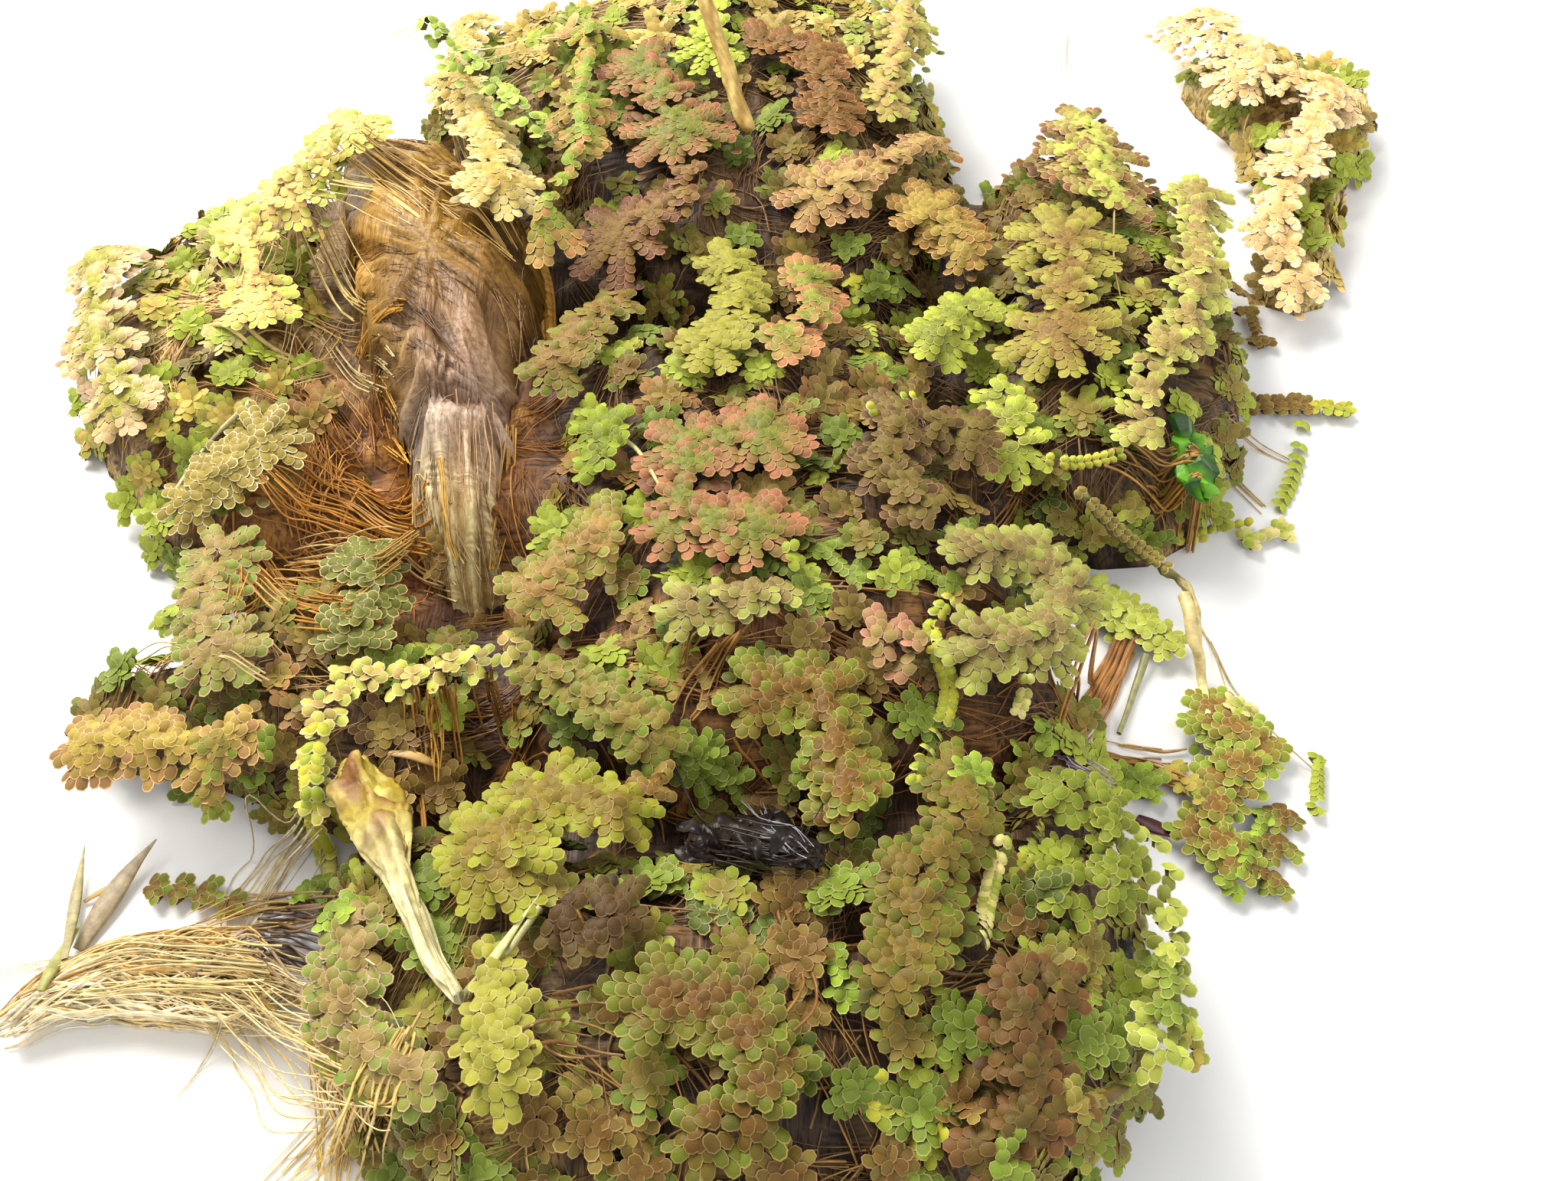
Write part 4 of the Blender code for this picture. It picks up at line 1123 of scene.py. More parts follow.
def felt_finish(place):
    """Wet felt: wrinkles that spread from one place, and strands drawn across above it and down below it. The
    tint is lighter on the ridges and darker between them, as painted light and shade.
    """
    away = place.to_2d() - felt_centre
    turn = math.atan2(away.y, away.x) + 0.45 * noise.noise(place * 160)
    spread = sum(
        size * ridge_at(math.cos(turn) * count, math.sin(turn) * count, away.length * pitch)
        for count, pitch, size in ((2.6, 90, 1.05), (6.5, 200, 0.5))
    )
    bent = away + Vector((noise.noise(place * 90), noise.noise(place * 80 + Vector((9, 0, 0))))) * 1.6 * MM
    strand = 0.0
    for way, share in ((DRAWN_ACROSS, drawn_across(away)), (DRAWN_DOWN, 1 - drawn_across(away))):
        along, across = bent.dot(way), bent.x * way.y - bent.y * way.x
        coarse, fine = ridge_at(across * 520, along * 70, 0), ridge_at(across * 1500, along * 160, 3)
        strand += share * (0.7 * coarse + 0.4 * fine)
    spread *= clamped(away.length / (2.5 * MM))
    near = math.exp(-((away.length / (8 * MM)) ** 2))
    ridge = mixed(strand, spread, near)
    dark, light = tones_at(felt_spots, place.to_2d())
    # Painted light and shade: lighter on the ridges, darker in the valleys
    return (0.85 * ridge - 0.35) * MM, mixed(dark, light, clamped(0.42 + 1.1 * ridge) ** 1.3)


def stalk_finish(place):
    """Ochre stalk: streaks that run along Y."""
    streak = rough_at(Vector((place.x * 2200, place.y * 160, place.z * 160)))
    return 0.16 * streak * MM, mixed((0.40, 0.24, 0.05), (0.72, 0.54, 0.18), clamped(0.5 + 0.9 * streak))


def front_to_back(place, name):
    """How far this place lies from the front of a solid to its back."""
    low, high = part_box(name)
    return (place.y - low.y) / (high.y - low.y)


def husk_finish(place):
    """Withered leaf: an olive-yellow husk with brown blotches above, a pale ribbed stem below. The ribs are
    painted lighter on their crests as a highlight.
    """
    share = clamped(front_to_back(place, "withered_leaf") * 2.4 - 0.75)
    along, across = place.y * 0.9 - place.x * 0.44, place.x * 0.9 + place.y * 0.44
    blotch = rough_at(place * 450)
    rib = ridge_at(across * 900, along * 90, place.z * 500) + 0.6 * ridge_at(across * 2600, along * 200, 5)
    husk = mixed((0.38, 0.28, 0.02), (0.22, 0.085, 0.008), clamped(2.4 * blotch + 0.15))
    # Painted highlight: lighter along the crests of the ribs
    husk = mixed(husk, (0.72, 0.60, 0.14), clamped(1.1 * rib - 0.1))
    pale = mixed((0.46, 0.40, 0.16), (0.84, 0.80, 0.46), clamped(0.6 + 0.8 * rib))
    return (0.7 * blotch * share + 0.28 * rib - 0.25) * MM, mixed(pale, husk, share)


def litter_finish(place):
    """Wet black litter: sharp folds that run across, with painted shade darkening the creases between them.
    """
    along, across = place.x * 0.81 - place.y * 0.59, place.x * 0.59 + place.y * 0.81
    fold = ridge_at(along * 220, across * 1100, place.z * 800)
    fine = ridge_at(along * 500, across * 3000, place.z * 1800)
    # Painted shade: darker in the creases, where the folds sink
    tint = mixed((0.006, 0.003, 0.002), (0.034, 0.021, 0.014), clamped(0.3 + fold + 0.4 * fine))
    return (0.75 * fold + 0.22 * fine - 0.75) * MM, tint


# Dark flakes beside the litter: column, row, length and width in mm, and the way they point in radians

FLAKES = (
    (868, 1062, 1.9, 0.9, 0.4), (900, 1090, 1.6, 0.8, 2.6), (858, 1092, 1.2, 0.6, 1.2),
    (1040, 1052, 2.0, 0.8, 0.1), (1058, 1078, 1.4, 0.9, 2.2), (1018, 1108, 1.5, 0.7, 0.9),
    (935, 1042, 1.7, 0.7, 2.9), (985, 1118, 1.3, 0.8, 1.9),
)
FLAKE_TINT = np.array((0.02, 0.016, 0.013))
FLAKE_ROWS, FLAKE_COLUMNS = 7, 5


def flakes(rng):
    """Thin folded flakes, each lying on what carries it."""
    points, triangles, tints = [], [], []
    for column, row, length, width, turn in FLAKES:
        centre = seen_on(all_tree, column, row)
        way = Vector((math.cos(turn), math.sin(turn), 0))
        aside = Vector((-way.y, way.x, 0))
        curl = rng.uniform(0.3, 0.6)
        for face in (0, 1):
            first = len(points)
            for i in range(FLAKE_ROWS):
                along = i / 3 - 1
                half = width / 2 * (1 - abs(along) ** 2.5 * 0.8) + rng.uniform(-0.06, 0.06) * (1 - face)
                for j in range(FLAKE_COLUMNS):
                    across = j / 2 - 1
                    up = 0.55 + curl * abs(across) * width + 0.35 * math.sin(along * 2.4 + turn) - 0.07 * face
                    flat = way * along * length / 2 + aside * across * half
                    points.append(tuple(centre + flat * MM + Vector((0, 0, up)) * MM))
                    tints.append(FLAKE_TINT * rng.uniform(0.5, 2.0))
            for i in range(FLAKE_ROWS - 1):
                for j in range(FLAKE_COLUMNS - 1):
                    a = first + i * FLAKE_COLUMNS + j
                    b, c, d = a + FLAKE_COLUMNS, a + FLAKE_COLUMNS + 1, a + 1
                    triangles += [(a, b, c), (a, c, d)] if face == 0 else [(a, d, c), (a, c, b)]
    return mesh_of("litter_flakes", points, triangles, tints)


def scrap_finish(place):
    """Green leaf scrap, folded along sharp creases, lighter where it rises and darker in the creases as
    painted light and shade.
    """
    fold = noise.noise(place * 620)
    crease = noise.noise(place * 1500 + Vector((7, 0, 0)))
    # Painted light and shade: lighter where the leaf rises, darker in its creases
    share = clamped(0.35 + 1.1 * fold + 0.7 * crease)
    tint = mixed((0.010, 0.050, 0.003), (0.15, 0.42, 0.020), share)
    return (1.3 * fold + 0.5 * crease - 0.45) * MM, tint


def stem_finish(place):
    """Creeping stem: rough olive-brown above, smooth straw below."""
    share = clamped(front_to_back(place, "creeping_stem") * 2.0 - 0.3)
    rough = rough_at(Vector((place.x * 1300, place.y * 800, place.z * 1300)))
    bark = mixed((0.07, 0.055, 0.012), (0.30, 0.27, 0.08), clamped(0.3 + rough))
    straw = mixed((0.50, 0.38, 0.12), (0.78, 0.66, 0.32), clamped(0.5 + rough))
    return (0.22 * rough * (0.4 + share) - 0.15) * MM, mixed(straw, bark, share)


# The root carpet, low between the mats

# It is made on a grid, and closes clefts up to twice this many cells wide

GRID = 0.7 * MM
CLOSE_CELLS = 4


def shifted_extreme(heights, pick):
    """Each cell's highest, or lowest, neighbour within a few cells."""
    padded = np.pad(heights, CLOSE_CELLS)
    result = heights.copy()
    rows, columns = heights.shape
    around = range(2 * CLOSE_CELLS + 1)
    for i in around:
        for j in around:
            if (i - CLOSE_CELLS) ** 2 + (j - CLOSE_CELLS) ** 2 <= CLOSE_CELLS**2 + 1:
                result = pick(result, padded[i : i + rows, j : j + columns])
    return result


def carpet():
    """Roots that close the clefts between the mats, tinted dark as painted shade."""
    rows = int((INNER_HIGH.y - INNER_LOW.y) / GRID)
    columns = int((INNER_HIGH.x - INNER_LOW.x) / GRID)
    xs = [INNER_LOW.x + j * GRID for j in range(columns)]
    ys = [INNER_LOW.y + i * GRID for i in range(rows)]
    place = [[Vector((x, y)) for x in xs] for y in ys]
    ground = tree_over(solids([*MATS, "wet_root_felt"]))
    heights = np.array([[top_of(ground, p) or 0.0 for p in row] for row in place])
    closed = shifted_extreme(shifted_extreme(heights, np.maximum), np.minimum)
    filled = closed - heights > 0.5 * MM
    near = np.zeros_like(filled)
    for i in range(3):
        for j in range(3):
            near[1:-1, 1:-1] |= filled[i : rows - 2 + i, j : columns - 2 + j]
    index = np.full(filled.shape, -1)
    points, tints = [], []
    for i, j in np.argwhere(near):
        p = place[i][j]
        level = closed[i, j] - 1.6 * MM if filled[i, j] else min(heights[i, j], closed[i, j]) - 1.2 * MM
        rough = rough_at(Vector((p.x, p.y, 0)) * 380)
        dark, light = tones_at(root_spots, p)
        index[i, j] = len(points)
        points.append((p.x, p.y, max(0.0, level + 0.7 * rough * MM)))
        # Painted shade: the carpet lies low in the clefts and is tinted darker, toward the dark tone
        tints.append(mixed(dark, light, 0.8 * clamped(0.3 + 0.7 * rough) ** 1.5) * 0.7)
    triangles = []
    for i in range(rows - 1):
        for j in range(columns - 1):
            a, b, c, d = index[i, j], index[i, j + 1], index[i + 1, j + 1], index[i + 1, j]
            triangles += [corners for corners in ((a, b, c), (a, c, d)) if min(corners) >= 0]
    return mesh_of("root_carpet", points, triangles, tints)


# Single roots


def softened(path, rounds=2):
    """A path with its corners cut."""
    path = np.array([tuple(p) for p in path])
    for _ in range(rounds):
        cut = np.empty((2 * len(path) - 2, 3))
        cut[0::2] = path[:-1] * 0.75 + path[1:] * 0.25
        cut[1::2] = path[:-1] * 0.25 + path[1:] * 0.75
        path = np.vstack([path[:1], cut[1:-1], path[-1:]])
    return path


BLADE_THIN = 0.3


class Roots:
    """Many thin tubes in one piece."""

    def __init__(self):
        self.parts = []

    def add(self, path, radius, tint, sides, taper=0.35, blade=False):
        """A thin tube along a path, narrower at its end. A blade is flat and has pointed ends."""
        path = np.array([tuple(p) for p in path])
        ways = unit(np.gradient(path, axis=0))
        flat = unit(np.cross(ways, (0.02, 0.01, 1.0)))
        other = np.cross(ways, flat)
        count = len(path)
        radii = radius * (1 - (1 - taper) * np.linspace(0, 1, count))
        if blade:
            radii *= np.sin(math.pi * np.linspace(0.12, 0.99, count)) ** 0.7
            other *= BLADE_THIN
        angles = (np.arange(sides) * 2 * math.pi / sides)[None, :, None]
        ring = np.cos(angles) * flat[:, None, :] + np.sin(angles) * other[:, None, :]
        points = (path[:, None, :] + ring * radii[:, None, None]).reshape(-1, 3)
        triangles = []
        for i in range(count - 1):
            for k in range(sides):
                a, b = i * sides + k, i * sides + (k + 1) % sides
                triangles += [(a, a + sides, b + sides), (a, b + sides, b)]
        tints = np.repeat(np.array(tint)[None] * np.linspace(0.85, 1.1, count)[:, None], sides, axis=0)
        self.parts.append((points, np.array(triangles), tints))

    def mesh(self, name):
        points, triangles, tints, first = [], [], [], 0
        for own_points, own_triangles, own_tints in self.parts:
            points.append(own_points)
            triangles.append(own_triangles + first)
            tints.append(own_tints)
            first += len(own_points)
        return mesh_of(name, np.concatenate(points), np.concatenate(triangles), np.concatenate(tints))


# The steps of a root, how much its way turns at each, and the height below which a mat bears no roots

ROOT_STEP = 0.8 * MM
LOOSE, COMBED = 0.25, 0.08
LOW_MAT = 0.6 * MM


def run_root(roots, tree, place, angle, rng, steps, radius, tint, turn, raise_by):
    """A curved root over the top of what carries it, a little taut over its hollows; says if there is one."""
    bend = rng.uniform(-turn, turn)
    spots = []
    for _ in range(steps):
        level = top_of(tree, place)
        if level is None:
            break
        spots.append((place.x, place.y, level + raise_by + rng.uniform(-0.15, 0.2) * MM))
        place = place + Vector((math.cos(angle), math.sin(angle))) * ROOT_STEP
        angle += bend + rng.uniform(-turn, turn)
    if len(spots) < 4:
        return False
    path = np.array(spots)
    path[1:-1, 2] = np.maximum(path[1:-1, 2], (path[:-2, 2] + path[2:, 2]) / 2)
    roots.add(path, radius, tint, 3)
    return True


def random_place(tree, low, high, rng, least=0.0):
    """A random place between two corners and the height of what carries it, None where that is low."""
    place = Vector((rng.uniform(low.x, high.x), rng.uniform(low.y, high.y)))
    level = top_of(tree, place)
    return place, None if level is None or level < least else level


def scattered_roots(roots, tree, count, rng):
    """Short curved roots over the top of the mats."""
    made = 0
    for _ in range(count * 8):
        if made == count:
            break
        place, level = random_place(tree, INNER_LOW, INNER_HIGH, rng, LOW_MAT)
        if level is None:
            continue
        dark, light = tones_at(root_spots, place)
        tint = mixed(dark * 1.4, light * 1.25, rng.random())
        angle = rng.uniform(0, 2 * math.pi)
        radius = rng.choice((0.06, 0.08, 0.11, 0.15)) * MM
        steps = rng.randint(7, 13)
        made += run_root(roots, tree, place, angle, rng, steps, radius, tint, LOOSE, -0.15 * MM)


def root_bundles(roots, tree, count, rng):
    """Combed bundles of fine roots where the mats lie open."""
    made = 0
    for _ in range(count * 40):
        if made == count:
            break
        place, level = random_place(tree, INNER_LOW, INNER_HIGH, rng, LOW_MAT)
        if level is None or all_tree.ray_cast(Vector((place.x, place.y, level + 0.6 * MM)), -AHEAD)[0]:
            continue
        made += 1
        dark, light = tones_at(root_spots, place)
        angle = 7 * noise.noise(Vector((place.x * 45, place.y * 45, 0))) + rng.uniform(-0.3, 0.3)
        along = Vector((math.cos(angle), math.sin(angle)))
        across = Vector((-along.y, along.x))
        for _ in range(rng.randint(7, 11)):
            begin = place + (across * rng.uniform(-0.9, 0.9) - along * rng.uniform(1.5, 4)) * MM
            tint = mixed(dark * 1.5, light * 1.25, rng.random() ** 0.8)
            radius = rng.choice((0.04, 0.055, 0.07, 0.1)) * MM
            lift = rng.uniform(-0.15, 0.35) * MM
            turned, steps = angle + rng.uniform(-0.1, 0.1), rng.randint(6, 11)
            run_root(roots, tree, begin, turned, rng, steps, radius, tint, COMBED, lift)


def felt_fibres(roots, count, rng):
    """Fine fibres over the felt, the way its strands and wrinkles run."""
    low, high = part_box("wet_root_felt")
    made = 0
    for _ in range(count * 6):
        if made == count:
            break
        place, level = random_place(felt_tree, low, high, rng)
        if level is None:
            continue
        away = place - felt_centre
        if away.length < rng.uniform(2, 7) * MM:
            continue
        share = drawn_across(away)
        drawn = DRAWN_ACROSS * share + DRAWN_DOWN * (1 - share)
        if drawn.dot(away) < 0:
            drawn = -drawn
        way = drawn + away.normalized() * 3 * math.exp(-((away.length / (6 * MM)) ** 2))
        dark, light = tones_at(felt_spots, place)
        tint = mixed(dark * 1.1, light * 0.95, rng.random())
        angle = math.atan2(way.y, way.x) + rng.uniform(-0.2, 0.2)
        radius = rng.choice((0.025, 0.035, 0.05, 0.07)) * MM
        steps = rng.randint(6, 12)
        made += run_root(roots, felt_tree, place, angle, rng, steps, radius, tint, COMBED, -0.3 * MM)


# The rolled edge of the felt: where it is seen, the search to the left of that, and radius, shift and tint

RIM = (
    (690, 300), (706, 335), (716, 380), (718, 430), (720, 480),
    (720, 530), (716, 580), (708, 630), (698, 680), (690, 720),
)
RIM_SEARCH = range(0, 96, 4)
RIM_STRANDS = (
    (0.42, 0, (0.62, 0.32, 0.05)),
    (0.24, -10, (0.72, 0.44, 0.10)),
    (0.16, 9, (0.52, 0.25, 0.04)),
    (0.12, -17, (0.80, 0.60, 0.26)),
)


def felt_rim(roots, rng):
    """The rolled edge of the felt, on its right side."""
    for radius, aside, tint in RIM_STRANDS:
        path = []
        for column, row in RIM:
            hits = (felt_tree.ray_cast(EYE, sight(column - inward, row))[0] for inward in RIM_SEARCH)
            hit = next((h for h in hits if h), None)
            if hit:
                shift = Vector((rng.uniform(-0.1, 0.1) + aside * 0.05, 0, 0))
                path.append(hit - AHEAD * 0.3 * MM + shift * MM)
        if len(path) > 3:
            roots.add(softened(path), radius * MM, tint, 7, 0.7)


# The dark and the light tone of the tail's strands: near its knot, on its upper side and on its lower side

TAIL_TONES = {
    "knot": ((0.19, 0.12, 0.08), (0.62, 0.51, 0.45)),
    "upper": ((0.58, 0.37, 0.11), (0.98, 0.77, 0.35)),
    "lower": ((0.94, 0.80, 0.46), (1.0, 0.96, 0.80)),
}


def tail_spans(tree, low, high):
    """Where the root tail lies, from left to right: X, the lowest Y and the highest Y."""
    spans = []
    for x in np.linspace(low.x + 0.2 * MM, high.x - 0.2 * MM, 18):
        ys = [y for y in np.linspace(low.y, high.y, 40) if top_of(tree, (x, y)) is not None]
        if ys:
            spans.append((x, min(ys), max(ys)))
    return spans


def tail_strands(roots, count, rng):
    """Strands that run along the root tail and take its form, with loose ends that stray from it."""
    tree = tree_over(solids(["root_tail"]))
    low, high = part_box("root_tail")
    spans = tail_spans(tree, low, high)
    for _ in range(count):
        share, depth, drift = 1 - rng.random() ** 1.5, -2.4 * rng.random() ** 2, rng.uniform(-1.5, 1.5)
        begin = rng.randint(0, len(spans) - 7)
        end = min(len(spans), begin + rng.randint(6, 13))
        wave, pace = rng.uniform(0, 6.28), rng.uniform(0.5, 1.1)
        path = []
        for k, (x, start, stop) in enumerate(spans[begin:end]):
            part = clamped(share + drift * k / 16 + 0.12 * math.sin(wave + k * pace))
            y = start + (stop - start) * part
            level = top_of(tree, (x, min(max(y, start + 1e-5), stop - 1e-5))) or 0.5 * MM
            path.append((x, y, max(0.12 * MM, level + (depth + 0.15 * math.sin(wave + k)) * MM)))
        right = (path[len(path) // 2][0] - low.x) / (high.x - low.x)
        if right > rng.uniform(0.72, 0.95):
            kind = "knot"
        else:
            kind = "upper" if share > rng.uniform(0.2, 0.6) else "lower"
        tint = mixed(*TAIL_TONES[kind], rng.random())
        roots.add(softened(path, 1), rng.choice((0.05, 0.07, 0.1, 0.14)) * MM, tint, 4, 0.4)


# Pointed leaves and pods: tint, half width in mm, and the columns and rows that they pass

BLADES = (
    ((0.40, 0.32, 0.19), 0.80, ((104, 1242), (135, 1195), (172, 1145), (210, 1104))),
    ((0.42, 0.36, 0.16), 0.42, ((86, 1255), (98, 1205), (108, 1155), (117, 1112))),
    ((0.34, 0.34, 0.07), 0.50, ((55, 1296), (72, 1268), (92, 1240), (112, 1215))),
    ((0.50, 0.34, 0.10), 0.25, ((112, 1180), (140, 1165), (165, 1160))),
    ((0.62, 0.58, 0.12), 0.60, ((434, 1116), (431, 1140), (440, 1170))),
    ((0.56, 0.46, 0.08), 0.55, ((464, 1118), (464, 1136), (472, 1156))),
    ((0.62, 0.40, 0.12), 0.38, ((508, 986), (540, 990), (565, 1002), (582, 1014))),
    ((0.62, 0.64, 0.26), 0.30, ((584, 1328), (612, 1298), (645, 1262), (675, 1222), (708, 1180))),
    ((0.09, 0.018, 0.022), 0.62, ((1484, 1070), (1510, 1086), (1538, 1102))),
)


def blades(roots):
    """The pointed leaves and pods."""
    for tint, radius, seen in BLADES:
        path = [seen_on(all_tree, *p) + Vector((0, 0, 0.25 + 0.2 * k)) * MM for k, p in enumerate(seen)]
        roots.add(softened(path), radius * MM, tint, 8, 0.8, blade=True)


# Small fronds: how steeply their ground may fall and climb, their size, the lobes of a star and their angle

DRAPE_SLOPE, DRAPE_CLIMB = 0.9, 0.7
SPRIG_SIZE = 0.9
STAR_LOBES = 6
SPRIG_ANGLE = math.radians(55)


def draped(start):
    """The ground under a small frond: the clump, or a slope where it falls away, or none where it climbs."""

    def ground(place):
        away = (Vector(place[:2]) - start.to_2d()).length
        level = top_of(all_tree, place) or 0.0
        if level > start.z + DRAPE_CLIMB * away + 0.9 * MM:
            return None
        return max(level, 0.5 * MM, start.z - DRAPE_SLOPE * away) + 0.3 * MM

    return ground


def small_frond(leaves, look, reach, places, rng):
    """A sprig of short lobes along a stem on the clump, or a star of lobes around a single place."""
    spine = [p.to_2d() for p in places]
    size = SPRIG_SIZE * min(1.0, 0.72 + reach / (6 * MM))

    # under sets how dark the lobe cores are, as painted shade beneath the scales
    def lobe(own, angle, length, width, rise, start=0.2 * MM, under=0.8):
        ground = draped(places[own])
        grow_lobe(leaves, ground, spine[own], angle, length, width, look, rng, rise, start, size, under=under)

    if len(spine) == 1:
        turn = rng.uniform(0, 6.28)
        for i in range(STAR_LOBES):
            angle = turn + 2 * math.pi * i / STAR_LOBES + rng.uniform(-0.15, 0.15)
            lobe(0, angle, reach * rng.uniform(0.8, 1.1), 1.3 * MM, (i % 2) * 0.12 * MM, under=0.45)
        return
    last = len(spine) - 1
    for own in range(last):
        run = (spine[own + 1] - spine[own]).length
        if run > 0.5 * MM:
            lobe(own, heading(spine[own], spine[own + 1]), run, 1.1 * MM, 0.05 * MM, 0.0, 0.9)
    for own in range(last + 1):
        ahead = heading(spine[min(own, last - 1)], spine[min(own, last - 1) + 1])
        angles = (ahead + SPRIG_ANGLE, ahead - SPRIG_ANGLE, ahead)
        for i, angle in enumerate(angles if own == last else angles[:2]):
            length = reach * rng.uniform(0.8, 1.1)
            lobe(own, angle + rng.uniform(-0.15, 0.15), length, 1.25 * MM, (i % 2) * 0.1 * MM)


CHAIN_LEAF = (0.36 * MM, 0.46 * MM, 0.2 * MM)


def chain(leaves, look, size, places, rng):
    """A hanging chain of pairs of round leaves."""
    path = softened(places)
    inner, outer, rim_tone = tones_of(look)
    width, length, dome = CHAIN_LEAF
    spent = 0.0
    for a, b in zip(path, path[1:]):
        way = Vector(b - a)
        spent += way.length
        if spent < 0.4 * MM * size:
            continue
        spent = 0.0
        way.normalize()
        aside = way.cross(-AHEAD).normalized()
        up = aside.cross(way)
        for side in (-1, 1):
            spot = Vector(a) + aside * side * 0.27 * MM * size + up * 0.5 * MM
            forward = (way + aside * side * rng.uniform(0.5, 0.8) + up * 0.15).normalized()
            tint = mixed(inner, outer, rng.random()) * rng.uniform(0.95, 1.25)
            box = (width * size, length * size, dome)
            leaves.add(spot, forward, up + aside * side * 0.45, box, tint, mixed(tint, rim_tone, 0.5))


def region_look(place, rng):
    """The look of a small frond by where it lies on the clump."""
    x, y = place.x / MM, place.y / MM
    if y > 44 or x > 44:
        choice = ("ochre", "straw", "straw", "pale", "lime", "straw")
    elif x < -28 and y > 0:
        choice = ("ochre", "olive_pale", "ochre", "lime", "pale")
    elif y > 18:
        choice = ("brown", "olive", "lime", "purple", "green", "tan")
    elif x > 20:
        choice = ("lime", "green", "olive", "lime_olive")
    elif y < -22:
        choice = ("green", "olive", "brown_green", "lime_olive", "olive_brown")
    else:
        choice = ("olive", "purple", "green", "lime", "brown_green", "rose")
    return rng.choice(choice)


# Scattered fronds: how many are tried, how low they may lie, and their gaps in the open and under plants

SCATTER_TRIES = 9000
LOWEST_FROND = 1.2 * MM
OPEN_GAP, COVERED_GAP = 2.7 * MM, 4.0 * MM
UP = Vector((0, 0, 1))


def scatter_fronds(rng):
    """Small fronds all over the mats, tops and sides, more of them where no plant lies, and darker under
    plants as painted shade.
    """
    faces = []
    for name in MATS:
        mesh = NODES[name].data
        for t in mesh.loop_triangles:
            if t.normal.z > -0.2:
                faces.append((*(mesh.vertices[i].co for i in t.vertices), t.normal.copy(), t.area))
    pieces = {part: Leaves(SCALE_RINGS[1:]) for part in ("back", "middle", "front")}
    hollows = [(seen_on(all_tree, column, row), reach * MM) for column, row, reach in HOLLOWS]
    taken = []
    for a, b, c, normal, _ in rng.choices(faces, weights=[face[-1] for face in faces], k=SCATTER_TRIES):
        u, v = sorted((rng.random(), rng.random()))
        place = a * u + b * (v - u) + c * (1 - v)
        if place.z < LOWEST_FROND or any((place - p).length < reach for p, reach in hollows):
            continue
        way = (normal + UP * 0.5).normalized()
        covered = all_tree.ray_cast(place + way * 0.6 * MM, UP)[3] is not None
        gap = COVERED_GAP if covered else OPEN_GAP
        if any((place - other).length < gap for other in taken):
            continue
        taken.append(place)
        lean = Vector([rng.uniform(-0.35, 0.35) for _ in range(3)])
        square = (normal * 0.7 + Vector((0, -0.1, 0.45)) + lean).normalized()
        # Painted shade: fronds under a plant are darker
        dim = 0.6 if covered else rng.uniform(0.75, 1.05)
        part = "back" if place.y > 12 * MM else "front" if place.y < -24 * MM else "middle"
        reach = rng.uniform(1.5, 2.5) * MM
        look = region_look(place, rng)
        rosette(pieces[part], place + way * 0.55 * MM, square, reach, look, rng, dim)
    return pieces


# Dark hollows that stay open: column, row and reach in mm

HOLLOWS = (
    (741, 377, 3.0), (715, 400, 2.5), (873, 469, 1.6), (430, 600, 3.0), (490, 635, 3.0), (1330, 945, 3.5),
    (1290, 950, 2.5), (970, 1085, 2.4), (640, 930, 2.5), (1010, 1225, 1.6), (1285, 1200, 2.0),
    (1000, 190, 2.0), (400, 700, 3.5), (470, 700, 3.5), (915, 880, 1.8), (1420, 920, 3.0), (1540, 640, 2.5),
)

# Single roots and stems, with two rows of pale streaks that are painted highlights on the wet litter: tint,
# radius in mm, how many, their spread in mm, and the columns and rows they pass

